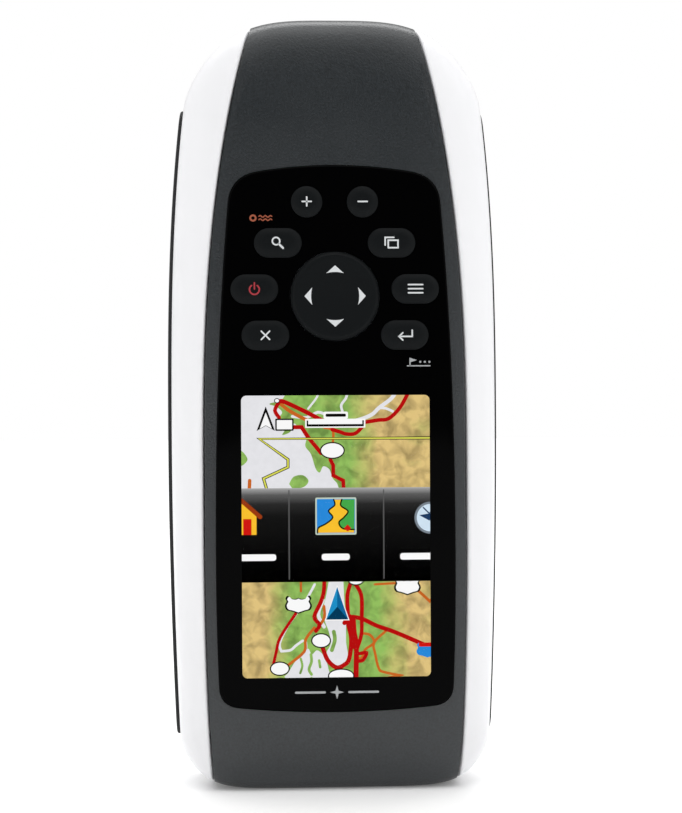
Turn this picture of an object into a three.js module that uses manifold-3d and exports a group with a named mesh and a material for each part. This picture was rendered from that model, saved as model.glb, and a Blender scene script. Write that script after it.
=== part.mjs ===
// Handheld gps unit: a shell of two halves around a keypad, a display, an antenna and two AA cells.
// Millimetres. +X is the user's right, the keys face -Y, the battery door faces +Y and +Z is the antenna end.
// The origin is the middle of the base, on the plane that the unit stands on.
import * as THREE from 'three';
import { mergeVertices } from 'three/addons/utils/BufferGeometryUtils.js';
import { LoftGeometry } from 'three/addons/geometries/LoftGeometry.js';
import Module from 'manifold-3d';

const wasm = await Module();
wasm.setup();

// ---- Driving dimensions ----------------------------------------------------------------------------------------

const HEIGHT = 152;
const GAP = 0.3; // clearance between pieces that touch on the real unit

// Outline of the body seen from the front
const BODY_HALF_WIDTH = 32.2;
const WAIST_Z = 72; // height where the body is widest
const UPPER_TAPER = 2.5; // how much narrower each side is 61 mm above the widest height
const LOWER_TAPER = 1.4;
const TAPER_SPAN = 61;
const TOP_CORNER_Z = 135; // where the upper corners begin
const BOTTOM_CORNER_Z = 10;
const BASE_CUT = 0.35; // the outline runs this far below the base plane, which cuts it flat

// Depth of the body
const FRONT_DEPTH = 13.9;
const BACK_DEPTH = 14.7;
const FRONT_ROUNDNESS = 6; // superellipse exponents of the front and back edges
const BACK_ROUNDNESS = 4.5;
const SPINE_LOW = 33; // the edges round over towards a line between these two heights
const SPINE_HIGH = 118;
const SLOPE_START_Z = 93; // above this the back slopes forward
const SLOPE = 0.075;

// Walls
const SIDE_WALL = 2;
const FRONT_WALL = 2.9;
const BACK_WALL = 1.8;
const PARTING_Y = 0.3; // the two housing halves meet here
const FASCIA_THICKNESS = 1.3;

// Lens panel with the keys and the window
const LENS_Y = -14.2;
const LENS_THICKNESS = 1.4;
const LENS_HALF_WIDTH = 23.4;
const LENS_WIDEST_Z = 45;
const LENS_BOTTOM_Z = 15.7;
const LENS_TOP_Z = 122.4;
const LEDGE_HALF_WIDTH = 21.3; // opening in the front housing behind the lens panel
const WINDOW = { halfWidth: 18.4, halfHeight: 27.5, z: 50, corner: 1 };

// Keys
const KEY_Y = -15;
const KEY_BASE_Y = -12.1;
const OVAL_KEY = { width: 9.3, height: 5.75 };
const ROUND_KEY = { width: 6.12, height: 6.12 };
const ROCKER = { radius: 8.66, z: 96.8 };
const KEYS = [
  ['zoom_in_key', -5.45, 115.2, ROUND_KEY],
  ['zoom_out_key', 5.45, 115.2, ROUND_KEY],
  ['find_key', -11.1, 107.2, OVAL_KEY],
  ['page_key', 11.1, 107.2, OVAL_KEY],
  ['power_key', -15.7, 98.2, OVAL_KEY],
  ['menu_key', 15.7, 98.2, OVAL_KEY],
  ['quit_key', -13.6, 89.2, OVAL_KEY],
  ['enter_key', 13.6, 89.2, OVAL_KEY],
];

// Grip strips
const GRIP = { proud: 0.8, sunk: 0.6, front: -3.2, back: 4, low: 9.6, high: 135 };

// Battery bay, its door and its latch
const CELL = { radius: 7.2, length: 50.5, x: 7.6, y: 4.9, low: 33.7, nub: 2.6, nubHeight: 1.1 };
const BAY = { halfWidth: 15.3, low: 29.2, high: 87.2, floor: -2.6, wall: 1.5 };
const SEAT_Y = 12.1; // plane that the door rests on
const SEAT_THICKNESS = 1.7;
const DOOR = { halfWidth: 19.5, low: 6.2, high: 91, corner: 7 };
const LATCH_Z = 16.6;
const CUP = { inner: 8.7, outer: 9.6, floor: 10.8, bottom: 9.6 };
const RING = { radius: 7, wire: 1.05, y: 12.8 };

// Upper back: the mount spine and the two capped ports
const MOUNT_SPINE = { halfWidth: 8, low: 95, high: 115, seat: 12.3, face: 15, corner: 1.5, screws: [99.5, 110.5] };
const PORT_Z = 125;
const PORT_FACE_Y = 9.6;
const CAP_SEAT_Y = 10.6;
const USB_CAP = { x: 10.5, halfWidth: 7, halfHeight: 4.6, plugHalfWidth: 4.3, plugHalfHeight: 2.1 };
const ANTENNA_CAP = { x: -10.5, halfWidth: 5, halfHeight: 4.6, plugHalfWidth: 2.1, plugHalfHeight: 2.1 };

// Boards
const BOARD = { halfWidth: 21, low: 12, high: 121, front: -8.4, back: -7.2 };
const SCREW_POSTS = [[-24.4, 15], [24.4, 15], [-25.2, 92], [25.2, 92]];

// ---- Materials -------------------------------------------------------------------------------------------------

const finish = (color, roughness, metalness = 0) => ({ color, roughness, metalness });
const WHITE_SHELL = finish(0xefeff1, 0.4);
const DARK_SHELL = finish(0x2f3437, 0.6);
const RUBBER = finish(0x353638, 0.8);
const GLOSS_BLACK = finish(0x040405, 0.08);
const KEY_PLASTIC = finish(0x1a1e1f, 0.5);
const CLEAR = finish(0xdfe6ea, 0.05);
const SCREEN = finish(0x7f9a7a, 0.3);
const LIGHT_GUIDE = finish(0xf4f4ee, 0.5);
const STEEL = finish(0xb8babd, 0.3, 1);
const BRASS = finish(0xc9a44c, 0.35, 1);
const CIRCUIT = finish(0x1d5b38, 0.55);
const INNER_PLASTIC = finish(0x26282a, 0.6);
const SILICONE = finish(0x8c9094, 0.7);
const CELL_JACKET = finish(0x3d4a63, 0.4);
const CERAMIC = finish(0xd9d2c2, 0.5);

// ---- Shape helpers ---------------------------------------------------------------------------------------------

/** Turns a closed geometry into a solid that can be joined and cut. */
function solid(geometry) {
  const bare = new THREE.BufferGeometry();
  bare.setAttribute('position', geometry.attributes.position);
  bare.setIndex(geometry.index);
  const merged = mergeVertices(bare, 1e-4);
  return new wasm.Manifold(new wasm.Mesh({
    numProp: 3,
    vertProperties: Float32Array.from(merged.attributes.position.array),
    triVerts: Uint32Array.from(merged.index.array),
  }));
}

/** Turns a solid back into a geometry. */
function geometryOf(body) {
  const mesh = body.getMesh();
  const geometry = new THREE.BufferGeometry();
  geometry.setAttribute('position', new THREE.BufferAttribute(Float32Array.from(mesh.vertProperties), 3));
  geometry.setIndex(new THREE.BufferAttribute(Uint32Array.from(mesh.triVerts), 1));
  geometry.computeVertexNormals();
  return geometry;
}

/** Box between two corners. */
function box([x0, y0, z0], [x1, y1, z1]) {
  const geometry = new THREE.BoxGeometry(x1 - x0, y1 - y0, z1 - z0);
  return solid(geometry.translate((x0 + x1) / 2, (y0 + y1) / 2, (z0 + z1) / 2));
}

/** Cylinder along Y between two depths. */
function cylinderY(radius, yFront, yBack, x, z, sides = 20) {
  const geometry = new THREE.CylinderGeometry(radius, radius, yBack - yFront, sides);
  return solid(geometry.translate(x, (yFront + yBack) / 2, z));
}

/** Cylinder along Z between two heights. */
function cylinderZ(radius, low, high, x, y, sides = 20) {
  const geometry = new THREE.CylinderGeometry(radius, radius, high - low, sides).rotateX(Math.PI / 2);
  return solid(geometry.translate(x, y, (low + high) / 2));
}

/** An outline of [x, z] points carried along Y between two depths. */
function prismY(outline, yFront, yBack) {
  const shape = new THREE.Shape(outline.map(([x, z]) => new THREE.Vector2(x, z)));
  const geometry = new THREE.ExtrudeGeometry(shape, { depth: yBack - yFront, bevelEnabled: false });
  return solid(geometry.rotateX(Math.PI / 2).translate(0, yBack, 0));
}

/** Rings, each an outline at its own depth, joined from front to back and closed at both ends. */
function stackY(rings) {
  const sections = rings.map(([outline, y]) => outline.map(([x, z]) => new THREE.Vector3(x, y, z)));
  return solid(new LoftGeometry(sections, { capStart: true, capEnd: true }));
}

/** Rectangle with round corners, or with round ends where the corner is half its height; [x, z] points. */
function roundedOutline(x, z, halfWidth, halfHeight, corner, steps = 4) {
  const centres = [[-1, -1, 180], [-1, 1, 90], [1, 1, 0], [1, -1, -90]];
  return centres.flatMap(([sx, sz, angle]) => Array.from({ length: steps + 1 }, (_, i) => {
    const turn = THREE.MathUtils.degToRad(angle + 90 - (i * 90) / steps);
    return [
      x + sx * (halfWidth - corner) + corner * Math.cos(turn),
      z + sz * (halfHeight - corner) + corner * Math.sin(turn),
    ];
  }));
}

/** Outline of a key, a little shorter where its ends are fully round so that no two points fall together. */
function keyOutline(x, z, size, grow = 0, steps = 4) {
  const halfHeight = size.height / 2 + grow;
  return roundedOutline(x, z, size.width / 2 + grow, halfHeight, halfHeight * 0.995, steps);
}

// ---- Outlines of the unit --------------------------------------------------------------------------------------

/** Half-width of the white body between its corners. */
function sideHalfWidth(z) {
  const above = z > WAIST_Z;
  const share = Math.abs(z - WAIST_Z) / TAPER_SPAN;
  return BODY_HALF_WIDTH - (above ? UPPER_TAPER * share ** 2.7 : LOWER_TAPER * share ** 2);
}

/** Right half of the body outline from base to top, as [x, z] points, with the waist as one of them. */
function halfOutline(cornerSteps, sideSteps) {
  const points = [];
  const bottomWidth = sideHalfWidth(BOTTOM_CORNER_Z);
  for (let i = 0; i <= cornerSteps; i++) {
    const turn = (i / cornerSteps) * (Math.PI / 2);
    const drop = Math.max(Math.cos(turn), 0) ** (2 / 1.3);
    const z = BOTTOM_CORNER_Z - (BOTTOM_CORNER_Z + BASE_CUT) * drop;
    points.push([bottomWidth * Math.sin(turn) ** (2 / 7), z]);
  }
  for (let i = 1; i < 2 * sideSteps; i++) {
    const low = i < sideSteps ? BOTTOM_CORNER_Z : WAIST_Z;
    const high = i < sideSteps ? WAIST_Z : TOP_CORNER_Z;
    const z = low + ((i % sideSteps) / sideSteps) * (high - low);
    points.push([sideHalfWidth(z), z]);
  }
  const topWidth = sideHalfWidth(TOP_CORNER_Z);
  for (let i = 0; i <= cornerSteps; i++) {
    const turn = (1 - i / cornerSteps) * (Math.PI / 2);
    const rise = Math.max(Math.cos(turn), 0) ** (2 / 1.3);
    points.push([topWidth * Math.sin(turn) ** (2 / 3.5), TOP_CORNER_Z + (HEIGHT - TOP_CORNER_Z) * rise]);
  }
  return points;
}

/** Whole body outline moved in by an inset and drawn towards the spine by a share. */
function bodyRing(half, inset, share) {
  const right = half.map(([x, z]) => {
    const spineZ = THREE.MathUtils.clamp(z, SPINE_LOW, SPINE_HIGH);
    const reach = Math.hypot(x, z - spineZ);
    const kept = (share * (reach - inset)) / reach;
    return [x * kept, spineZ + (z - spineZ) * kept];
  });
  const left = right.slice(1, -1).map(([x, z]) => [-x, z]);
  return [right[0], ...left, right[right.length - 1], ...right.slice(1, -1).reverse()];
}

/** Solid of the body skin moved in by a side inset and by its own insets at the front and the back. */
function bodySolid(sideInset, frontInset, backInset, turns, cornerSteps = 5, sideSteps = 2) {
  const half = halfOutline(cornerSteps, sideSteps);
  const ring = (turn, depth, roundness) => {
    const angle = THREE.MathUtils.degToRad(turn);
    const last = turn === turns[turns.length - 1];
    const share = Math.cos(angle) ** (2 / roundness);
    const y = last ? depth : depth * Math.sin(angle) ** (2 / roundness);
    return [bodyRing(half, sideInset, share), y];
  };
  const front = turns.map((turn) => ring(turn, frontInset - FRONT_DEPTH, FRONT_ROUNDNESS)).reverse();
  const back = turns.map((turn) => ring(turn, BACK_DEPTH - backInset, BACK_ROUNDNESS)).slice(1);
  const whole = stackY([...front, ...back]);
  const base = Math.max(sideInset, 0);
  const angle = Math.atan(SLOPE);
  const normal = [0, -Math.cos(angle), -Math.sin(angle)];
  const offset = normal[1] * (BACK_DEPTH - backInset) + normal[2] * SLOPE_START_Z;
  return whole.trimByPlane([0, 0, 1], base).trimByPlane(normal, offset);
}

/** Half-width of the front fascia at a height. */
function fasciaHalfWidth(z) {
  return z > 60 ? 25.7 - 8.9 * ((z - 60) / 88) ** 2.65 : 25.7 - ((60 - z) / 49) ** 2.5;
}

/** Prism of the fascia outline, grown by an amount, from far in front to the parting plane. */
function fasciaPrism(grow, yBack) {
  const steps = 20;
  const right = Array.from({ length: steps + 1 }, (_, i) => {
    const z = -1 + (i / steps) * (HEIGHT + 2);
    return [fasciaHalfWidth(z) + grow, z];
  });
  const left = right.map(([x, z]) => [-x, z]).reverse();
  return prismY([...right, ...left].reverse(), -20, yBack);
}

/** Half-width of the lens panel at a height. */
function lensHalfWidth(z) {
  const above = z > LENS_WIDEST_Z;
  const share = Math.abs(z - LENS_WIDEST_Z) / (above ? 77 : 27);
  return LENS_HALF_WIDTH - (above ? 3.3 * share ** 2.3 : 0.6 * share ** 2);
}

/** Lens panel outline, grown by an amount: arched top and bottom edges, bowed sides, round corners. */
function lensOutline(grow) {
  const top = (x) => LENS_TOP_Z + grow - 2.1 * (x / 19.4) ** 2;
  const bottom = (x) => LENS_BOTTOM_Z - grow + (x / 19.4) ** 2;
  const corner = (xc, zc, from, to) => [0.15, 0.38, 0.62, 0.85].map((t) => [
    (1 - t) ** 2 * from[0] + 2 * t * (1 - t) * xc + t * t * to[0],
    (1 - t) ** 2 * from[1] + 2 * t * (1 - t) * zc + t * t * to[1],
  ]);
  const topX = lensHalfWidth(LENS_TOP_Z - 2.4) + grow;
  const bottomX = lensHalfWidth(LENS_BOTTOM_Z + 1.2) + grow;
  const upper = [lensHalfWidth(top(topX) - 5) + grow, top(topX) - 5];
  const lower = [lensHalfWidth(bottom(bottomX) + 3.6) + grow, bottom(bottomX) + 3.6];
  const right = [[0, bottom(0)], [bottomX / 2, bottom(bottomX / 2)], [bottomX - 3.6, bottom(bottomX - 3.6)]];
  right.push(...corner(bottomX, bottom(bottomX), right[2], lower));
  for (let i = 0; i <= 10; i++) {
    const z = lower[1] + (i / 10) * (upper[1] - lower[1]);
    right.push([lensHalfWidth(z) + grow, z]);
  }
  const shoulder = [topX - 5, top(topX - 5)];
  right.push(...corner(topX, top(topX), upper, shoulder));
  right.push(shoulder, [topX / 2, top(topX / 2)], [topX / 4, top(topX / 4)], [0, top(0)]);
  const left = right.slice(1, -1).map(([x, z]) => [-x, z]).reverse();
  return [...right, ...left];
}

// ---- Housing ---------------------------------------------------------------------------------------------------

const SKIN_TURNS = [0, 10, 26, 44, 62, 80];
const INNER_TURNS = [0, 15, 45, 78];
const skin = bodySolid(0, 0, 0, SKIN_TURNS, 7, 3);
const cavity = bodySolid(SIDE_WALL, FRONT_WALL, BACK_WALL, INNER_TURNS);
const grownSkin = bodySolid(-GRIP.proud, 0, 0, INNER_TURNS);

/** Prism along X of a grip strip seen from the side, grown by an amount, on one side of the unit. */
function gripPrism(side, grow) {
  const outline = roundedOutline(
    (GRIP.front + GRIP.back) / 2,
    (GRIP.low + GRIP.high) / 2,
    (GRIP.back - GRIP.front) / 2 + grow,
    (GRIP.high - GRIP.low) / 2 + grow,
    3 + grow,
  );
  const shape = new THREE.Shape(outline.map(([y, z]) => new THREE.Vector2(y, z)));
  const geometry = new THREE.ExtrudeGeometry(shape, { depth: 12, bevelEnabled: false });
  geometry.rotateX(Math.PI / 2).rotateZ(Math.PI / 2);
  geometry.translate(side > 0 ? 26 : -38, 0, 0);
  return solid(geometry);
}

const gripBed = bodySolid(GRIP.sunk, GRIP.sunk, GRIP.sunk, INNER_TURNS);
const gripSeat = bodySolid(GRIP.sunk + GAP, GRIP.sunk + GAP, GRIP.sunk + GAP, INNER_TURNS);
const gripGrooves = gripPrism(1, GAP).add(gripPrism(-1, GAP)).subtract(gripSeat);

/** Rubber strip along one side. */
function makeGrip(side) {
  return grownSkin.intersect(gripPrism(side, 0)).subtract(gripBed);
}

/** White front shell: open behind the lens panel, stepped back where the fascia lies. */
function makeFrontHousing() {
  const fasciaSeat = bodySolid(FASCIA_THICKNESS + GAP, FASCIA_THICKNESS + GAP, 0, INNER_TURNS);
  const posts = SCREW_POSTS.map(([x, z]) => cylinderY(3, -10.8, PARTING_Y - GAP / 2, x, z, 12));
  const holes = SCREW_POSTS.map(([x, z]) => cylinderY(1.3, -8, 5, x, z, 10));
  const opening = roundedOutline(0, (18 + 120.2) / 2, LEDGE_HALF_WIDTH, (120.2 - 18) / 2, 4);
  let shell = skin.subtract(cavity).trimByPlane([0, -1, 0], GAP / 2 - PARTING_Y);
  shell = shell.subtract(fasciaPrism(GAP, 20).subtract(fasciaSeat));
  shell = shell.subtract(prismY(opening, -20, -8)).subtract(gripGrooves);
  posts.forEach((post) => { shell = shell.add(post.intersect(gripSeat)); });
  holes.forEach((hole) => { shell = shell.subtract(hole); });
  return shell;
}

/** Dark centre skin, over the front, the top and the bottom, with the opening for the lens panel. */
function makeFascia() {
  const inner = bodySolid(FASCIA_THICKNESS, FASCIA_THICKNESS, 0, INNER_TURNS);
  const sheet = skin.subtract(inner).intersect(fasciaPrism(0, PARTING_Y - GAP / 2));
  return sheet.subtract(prismY(lensOutline(GAP), -20, -8));
}

/** Outline of the mount spine, grown by an amount. */
function mountSpineOutline(grow) {
  const { halfWidth, low, high, corner } = MOUNT_SPINE;
  return roundedOutline(0, (low + high) / 2, halfWidth + grow, (high - low) / 2 + grow, corner + grow, 3);
}

/** Rear shell with the battery bay, the door seat, the latch pocket, the port block and the screw posts. */
function makeRearHousing() {
  const wall = BAY.wall;
  const bayMiddle = (BAY.low + BAY.high) / 2;
  const bayHalf = (BAY.high - BAY.low) / 2;
  const doorMiddle = (DOOR.low + DOOR.high) / 2;
  const doorHalf = (DOOR.high - DOOR.low) / 2;
  const doorSpace = roundedOutline(0, doorMiddle, DOOR.halfWidth + 0.35, doorHalf + 0.35, DOOR.corner + 0.35);
  const bayOuter = roundedOutline(0, bayMiddle, BAY.halfWidth + wall, bayHalf + wall, 2);
  const bayInner = roundedOutline(0, bayMiddle, BAY.halfWidth, bayHalf, 1);
  const seatRim = roundedOutline(0, doorMiddle, DOOR.halfWidth + 2.2, doorHalf + 2.2, DOOR.corner + 2.2);
  const grooveOuter = roundedOutline(0, bayMiddle, BAY.halfWidth + 2.7, bayHalf + 2.1, 2);
  const grooveInner = roundedOutline(0, bayMiddle, BAY.halfWidth + 1.1, bayHalf + 0.7, 1);
  let shell = skin.subtract(cavity).trimByPlane([0, 1, 0], PARTING_Y + GAP / 2);
  shell = shell.subtract(gripGrooves);
  const inside = skin.intersect(gripSeat);
  const added = [
    prismY(seatRim, SEAT_Y - SEAT_THICKNESS, BACK_DEPTH),
    prismY(bayOuter, BAY.floor - wall, SEAT_Y),
    box([-9.4, -5.8, 44], [9.4, BAY.floor, 62]),
    cylinderY(11.4, 3.6, SEAT_Y, 0, LATCH_Z, 28),
    box([-17.5, 7.4, PORT_Z - 7.5], [19.5, 13, PORT_Z + 7.5]),
    ...SCREW_POSTS.map(([x, z]) => cylinderY(3.1, PARTING_Y + GAP / 2, 14, x, z, 14)),
    box([-9.6, 10.5, MOUNT_SPINE.low - 1.6], [9.6, 14, MOUNT_SPINE.high + 1.6]),
    ...MOUNT_SPINE.screws.map((z) => cylinderY(2, 8.4, 12, 0, z, 12)),
  ];
  added.forEach((piece) => { shell = shell.add(piece.intersect(inside)); });
  const removed = [
    prismY(doorSpace, SEAT_Y, 20),
    prismY(bayInner, BAY.floor, 20),
    box([-8, -4.8, 45.4], [8, BAY.floor + 1, 60.6]),
    cylinderY(9.95, 5, 20, 0, LATCH_Z, 28),
    prismY(grooveOuter, SEAT_Y - 1.2, 20).subtract(prismY(grooveInner, 0, 20)),
    ...SCREW_POSTS.flatMap(([x, z]) => [cylinderY(1.4, -2, 20, x, z, 10), cylinderY(2.6, 8.2, 20, x, z, 16)]),
    ...[USB_CAP, ANTENNA_CAP].flatMap((cap) => [
      prismY(roundedOutline(cap.x, PORT_Z, cap.halfWidth + 0.35, cap.halfHeight + 0.35, 1.6), CAP_SEAT_Y, 20),
      prismY(roundedOutline(cap.x, PORT_Z, cap.plugHalfWidth + 0.7, cap.plugHalfHeight + 0.8, 1), 5, 20),
    ]),
    prismY(mountSpineOutline(GAP + 0.05), MOUNT_SPINE.seat, 20),
    ...MOUNT_SPINE.screws.map((z) => cylinderY(1.05, 8, 20, 0, z, 10)),
  ];
  removed.forEach((piece) => { shell = shell.subtract(piece); });
  return shell;
}

/** Seal ring just inside both housing halves. */
function makeHousingGasket() {
  const outer = bodySolid(SIDE_WALL + GAP, 0, 0, INNER_TURNS);
  const inner = bodySolid(SIDE_WALL + GAP + 0.8, 0, 0, INNER_TURNS);
  return outer.subtract(inner).trimByPlane([0, 1, 0], -0.8).trimByPlane([0, -1, 0], -1.4);
}

/** Countersunk-style machine screw along Y with its head towards +Y and a hex socket. */
function makeScrew(x, z, tipY, headY, shank, head, headHeight) {
  const shaft = cylinderY(shank, tipY, headY - headHeight / 2, x, z, 10);
  const cap = cylinderY(head, headY - headHeight, headY, x, z, 16);
  return shaft.add(cap).subtract(cylinderY(head * 0.5, headY - headHeight * 0.5, headY + 1, x, z, 6));
}

// ---- Front: lens, keys, display --------------------------------------------------------------------------------

/** Black panel with the key holes and the window opening. */
function makeLensPanel() {
  const window = roundedOutline(0, WINDOW.z, WINDOW.halfWidth, WINDOW.halfHeight, WINDOW.corner, 2);
  let panel = prismY(lensOutline(0), LENS_Y, LENS_Y + LENS_THICKNESS);
  panel = panel.subtract(prismY(window, -20, -8));
  KEYS.forEach(([, x, z, size]) => {
    panel = panel.subtract(prismY(keyOutline(x, z, size, GAP), -20, -8));
  });
  return panel.subtract(cylinderY(ROCKER.radius + GAP, -20, -8, 0, ROCKER.z, 32));
}

/** Clear pane that fills the window opening. */
function makeDisplayWindow() {
  const halfWidth = WINDOW.halfWidth - GAP;
  const halfHeight = WINDOW.halfHeight - GAP;
  const outline = roundedOutline(0, WINDOW.z, halfWidth, halfHeight, WINDOW.corner - GAP, 2);
  return prismY(outline, LENS_Y, LENS_Y + LENS_THICKNESS);
}

/** Key cap with a chamfered top edge and a flange that keeps it behind the lens panel. */
function makeKey(x, z, size) {
  const cap = stackY([
    [keyOutline(x, z, size, -0.35), KEY_Y],
    [keyOutline(x, z, size, 0), KEY_Y + 0.35],
    [keyOutline(x, z, size, 0), KEY_BASE_Y - 0.2],
  ]);
  return cap.add(prismY(keyOutline(x, z, size, 2 * GAP), KEY_BASE_Y - 0.4, KEY_BASE_Y));
}

/** A profile of [radius, y] points, lowest y first, turned about the Y axis; it starts and ends on the axis. */
function turnedY(profile, x, z, sides) {
  const points = profile.map(([radius, y]) => new THREE.Vector2(radius, y));
  return solid(new THREE.LatheGeometry(points, sides).translate(x, 0, z));
}

/** Four-way key: a disc with a bevelled rim and a shallow dished face. */
function makeRockerCap() {
  const r = ROCKER.radius;
  const dish = [[0, -14.65], [r - 2.6, -14.8]];
  const rim = [[r - 1.6, KEY_Y], [r - 0.6, KEY_Y], [r, -14.5], [r, -12.9], [0, -12.9]];
  return turnedY([...dish, ...rim], 0, ROCKER.z, 32);
}

/** Small post that the rocker tips on. */
function makeRockerPivot() {
  return turnedY([[0, -12.6], [1, -12.6], [1.6, -12.3], [1.6, -11.7], [0, -11.7]], 0, ROCKER.z, 12);
}

/** Silicone web under the keys with one plunger for each key and four for the rocker. */
function makeKeypadMembrane() {
  let web = prismY(roundedOutline(0, 101.5, 20.6, 18.5, 3, 2), -11.3, -10.4);
  const plungers = KEYS.map(([, x, z]) => [x, z]);
  plungers.push([0, ROCKER.z + 5.6], [0, ROCKER.z - 5.6], [5.6, ROCKER.z], [-5.6, ROCKER.z]);
  plungers.forEach(([x, z]) => { web = web.add(cylinderY(1.4, -10.6, -9.35, x, z, 8)); });
  return web;
}

/** Tray that holds the lcd glass and the backlight. */
function makeLcdFrame() {
  const tray = box([-20.6, -12.4, 20], [20.6, -9, 80]);
  return tray.subtract(box([-19.6, -14, 21], [19.6, -9.7, 79]));
}

// ---- Back: door, latch, ports, spine ---------------------------------------------------------------------------

/** Battery door: a plate that carries the outer skin, with a round cup for the latch and the D-ring. */
function makeBatteryDoor() {
  const middle = (DOOR.low + DOOR.high) / 2;
  const outline = roundedOutline(0, middle, DOOR.halfWidth, (DOOR.high - DOOR.low) / 2, DOOR.corner);
  const plate = prismY(outline, SEAT_Y + GAP, 20);
  const cup = cylinderY(CUP.outer, CUP.bottom, SEAT_Y + 1, 0, LATCH_Z, 28);
  const door = plate.add(cup).intersect(skin);
  const hollow = cylinderY(CUP.inner, CUP.floor, 20, 0, LATCH_Z, 28);
  return door.subtract(hollow).subtract(cylinderY(2.35, 0, 20, 0, LATCH_Z, 14));
}

/** Seal ring that the door presses into the groove around the bay. */
function makeDoorGasket() {
  const middle = (BAY.low + BAY.high) / 2;
  const half = (BAY.high - BAY.low) / 2;
  const outer = roundedOutline(0, middle, BAY.halfWidth + 2.35, half + 1.75, 1.7, 2);
  const inner = roundedOutline(0, middle, BAY.halfWidth + 1.45, half + 1.05, 1, 2);
  return prismY(outer, SEAT_Y - 0.9, SEAT_Y).subtract(prismY(inner, 0, 20));
}

/** Knob and shaft of the latch, with the cross hole that the D-ring pivots in. */
function makeLatchKnob() {
  const profile = [[0, 6.8], [2, 6.8], [2, 11.1], [3.5, 11.1], [3.5, 14.1], [3.1, 14.5], [0, 14.5]];
  const hole = new THREE.CylinderGeometry(RING.wire + GAP, RING.wire + GAP, 20, 12).rotateZ(Math.PI / 2);
  return turnedY(profile, 0, LATCH_Z, 20).subtract(solid(hole.translate(0, RING.y, LATCH_Z)));
}

/** Cam bar on the inner end of the latch shaft. */
function makeLatchCam() {
  const bar = prismY(keyOutline(0, LATCH_Z, { width: 15, height: 6.6 }, 0, 3), 7.4, 9.2);
  return bar.subtract(cylinderY(2.3, 0, 20, 0, LATCH_Z, 14));
}

/** D-ring: a round wire bent to a half circle and closed by the straight bar that it pivots on. */
function makeRing() {
  const outer = RING.radius + RING.wire;
  const inner = RING.radius - RING.wire;
  const rise = Math.asin(RING.wire / inner);
  const outline = new THREE.Shape();
  outline.absarc(0, 0, outer, Math.PI, 2 * Math.PI, false);
  outline.lineTo(outer, RING.wire);
  outline.lineTo(-outer, RING.wire);
  const hole = new THREE.Path();
  hole.absarc(0, 0, inner, 2 * Math.PI - rise, Math.PI + rise, true);
  outline.holes.push(hole);
  const bevel = 0.45;
  const options = { depth: 2 * (RING.wire - bevel), bevelSize: bevel, bevelThickness: bevel, bevelOffset: -bevel };
  const geometry = new THREE.ExtrudeGeometry(outline, { ...options, bevelSegments: 1, curveSegments: 12 });
  geometry.rotateX(Math.PI / 2).translate(0, RING.y + RING.wire - bevel, LATCH_Z);
  return solid(geometry);
}

/** Rubber cap over a port: a plate flush with the sloping back and a plug that fills the port's mouth. */
function makePortCap(cap) {
  const plate = prismY(roundedOutline(cap.x, PORT_Z, cap.halfWidth, cap.halfHeight, 1.3, 3), CAP_SEAT_Y + GAP, 20);
  const plugOutline = roundedOutline(cap.x, PORT_Z, cap.plugHalfWidth, cap.plugHalfHeight, 0.6, 2);
  return plate.add(prismY(plugOutline, PORT_FACE_Y + GAP, CAP_SEAT_Y + 1)).intersect(skin);
}

/** Mini usb socket shell, open towards +Y. */
function makeUsbPort() {
  const x = USB_CAP.x;
  const shell = box([x - 3.9, 5.3, PORT_Z - 2], [x + 3.9, PORT_FACE_Y, PORT_Z + 2]);
  const mouth = box([x - 3.4, 6.4, PORT_Z - 1.5], [x + 3.4, 20, PORT_Z + 1.5]);
  return shell.subtract(mouth).add(box([x - 2.6, 6, PORT_Z - 0.4], [x + 2.6, 9.1, PORT_Z + 0.4]));
}

/** Outside-antenna socket: a round jack with a centre pin. */
function makeAntennaJack() {
  const profile = [[0, 5.3], [2, 5.3], [2, PORT_FACE_Y], [1.4, PORT_FACE_Y], [1.4, 6.6], [0.5, 6.6], [0.5, 9], [0, 9]];
  return turnedY(profile, ANTENNA_CAP.x, PORT_Z, 16);
}

/** Slide-on rail for a belt clip or bracket: a plate with undercut sides, a stop and two screw holes. */
function makeMountSpine() {
  let rail = prismY(mountSpineOutline(0), MOUNT_SPINE.seat + GAP, MOUNT_SPINE.face);
  MOUNT_SPINE.screws.forEach((z) => {
    rail = rail.subtract(cylinderY(1.3, 8, 20, 0, z, 10)).subtract(cylinderY(2.2, 13.4, 20, 0, z, 14));
  });
  return rail;
}

// ---- Inside ----------------------------------------------------------------------------------------------------

/** AA cell along Z; up is 1 where its positive end points up. */
function makeCell(x, up) {
  const { radius, length, y, low, nub, nubHeight } = CELL;
  const can = cylinderZ(radius, low, low + length - nubHeight, x, y, 28);
  const whole = can.add(cylinderZ(nub, low + 1, low + length, x, y, 14));
  return up > 0 ? whole : whole.mirror([0, 0, 1]).translate([0, 0, 2 * low + length]);
}

/** Conical contact spring along Z from one height to another. */
function makeSpring(x, low, high, wide, narrow) {
  const turns = 2.5;
  const steps = 28;
  const wire = 0.35;
  const points = Array.from({ length: steps + 1 }, (_, i) => {
    const t = i / steps;
    const radius = wide + (narrow - wide) * t;
    const angle = t * turns * 2 * Math.PI;
    const z = low + wire + t * (high - low - 2 * wire);
    return new THREE.Vector3(x + radius * Math.cos(angle), CELL.y + radius * Math.sin(angle), z);
  });
  const section = new THREE.Shape(Array.from({ length: 5 }, (_, i) => {
    const angle = (i * 2 * Math.PI) / 5;
    return new THREE.Vector2(wire * Math.cos(angle), wire * Math.sin(angle));
  }));
  const path = new THREE.CatmullRomCurve3(points);
  return new THREE.ExtrudeGeometry(section, { steps, extrudePath: path, bevelEnabled: false });
}

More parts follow.
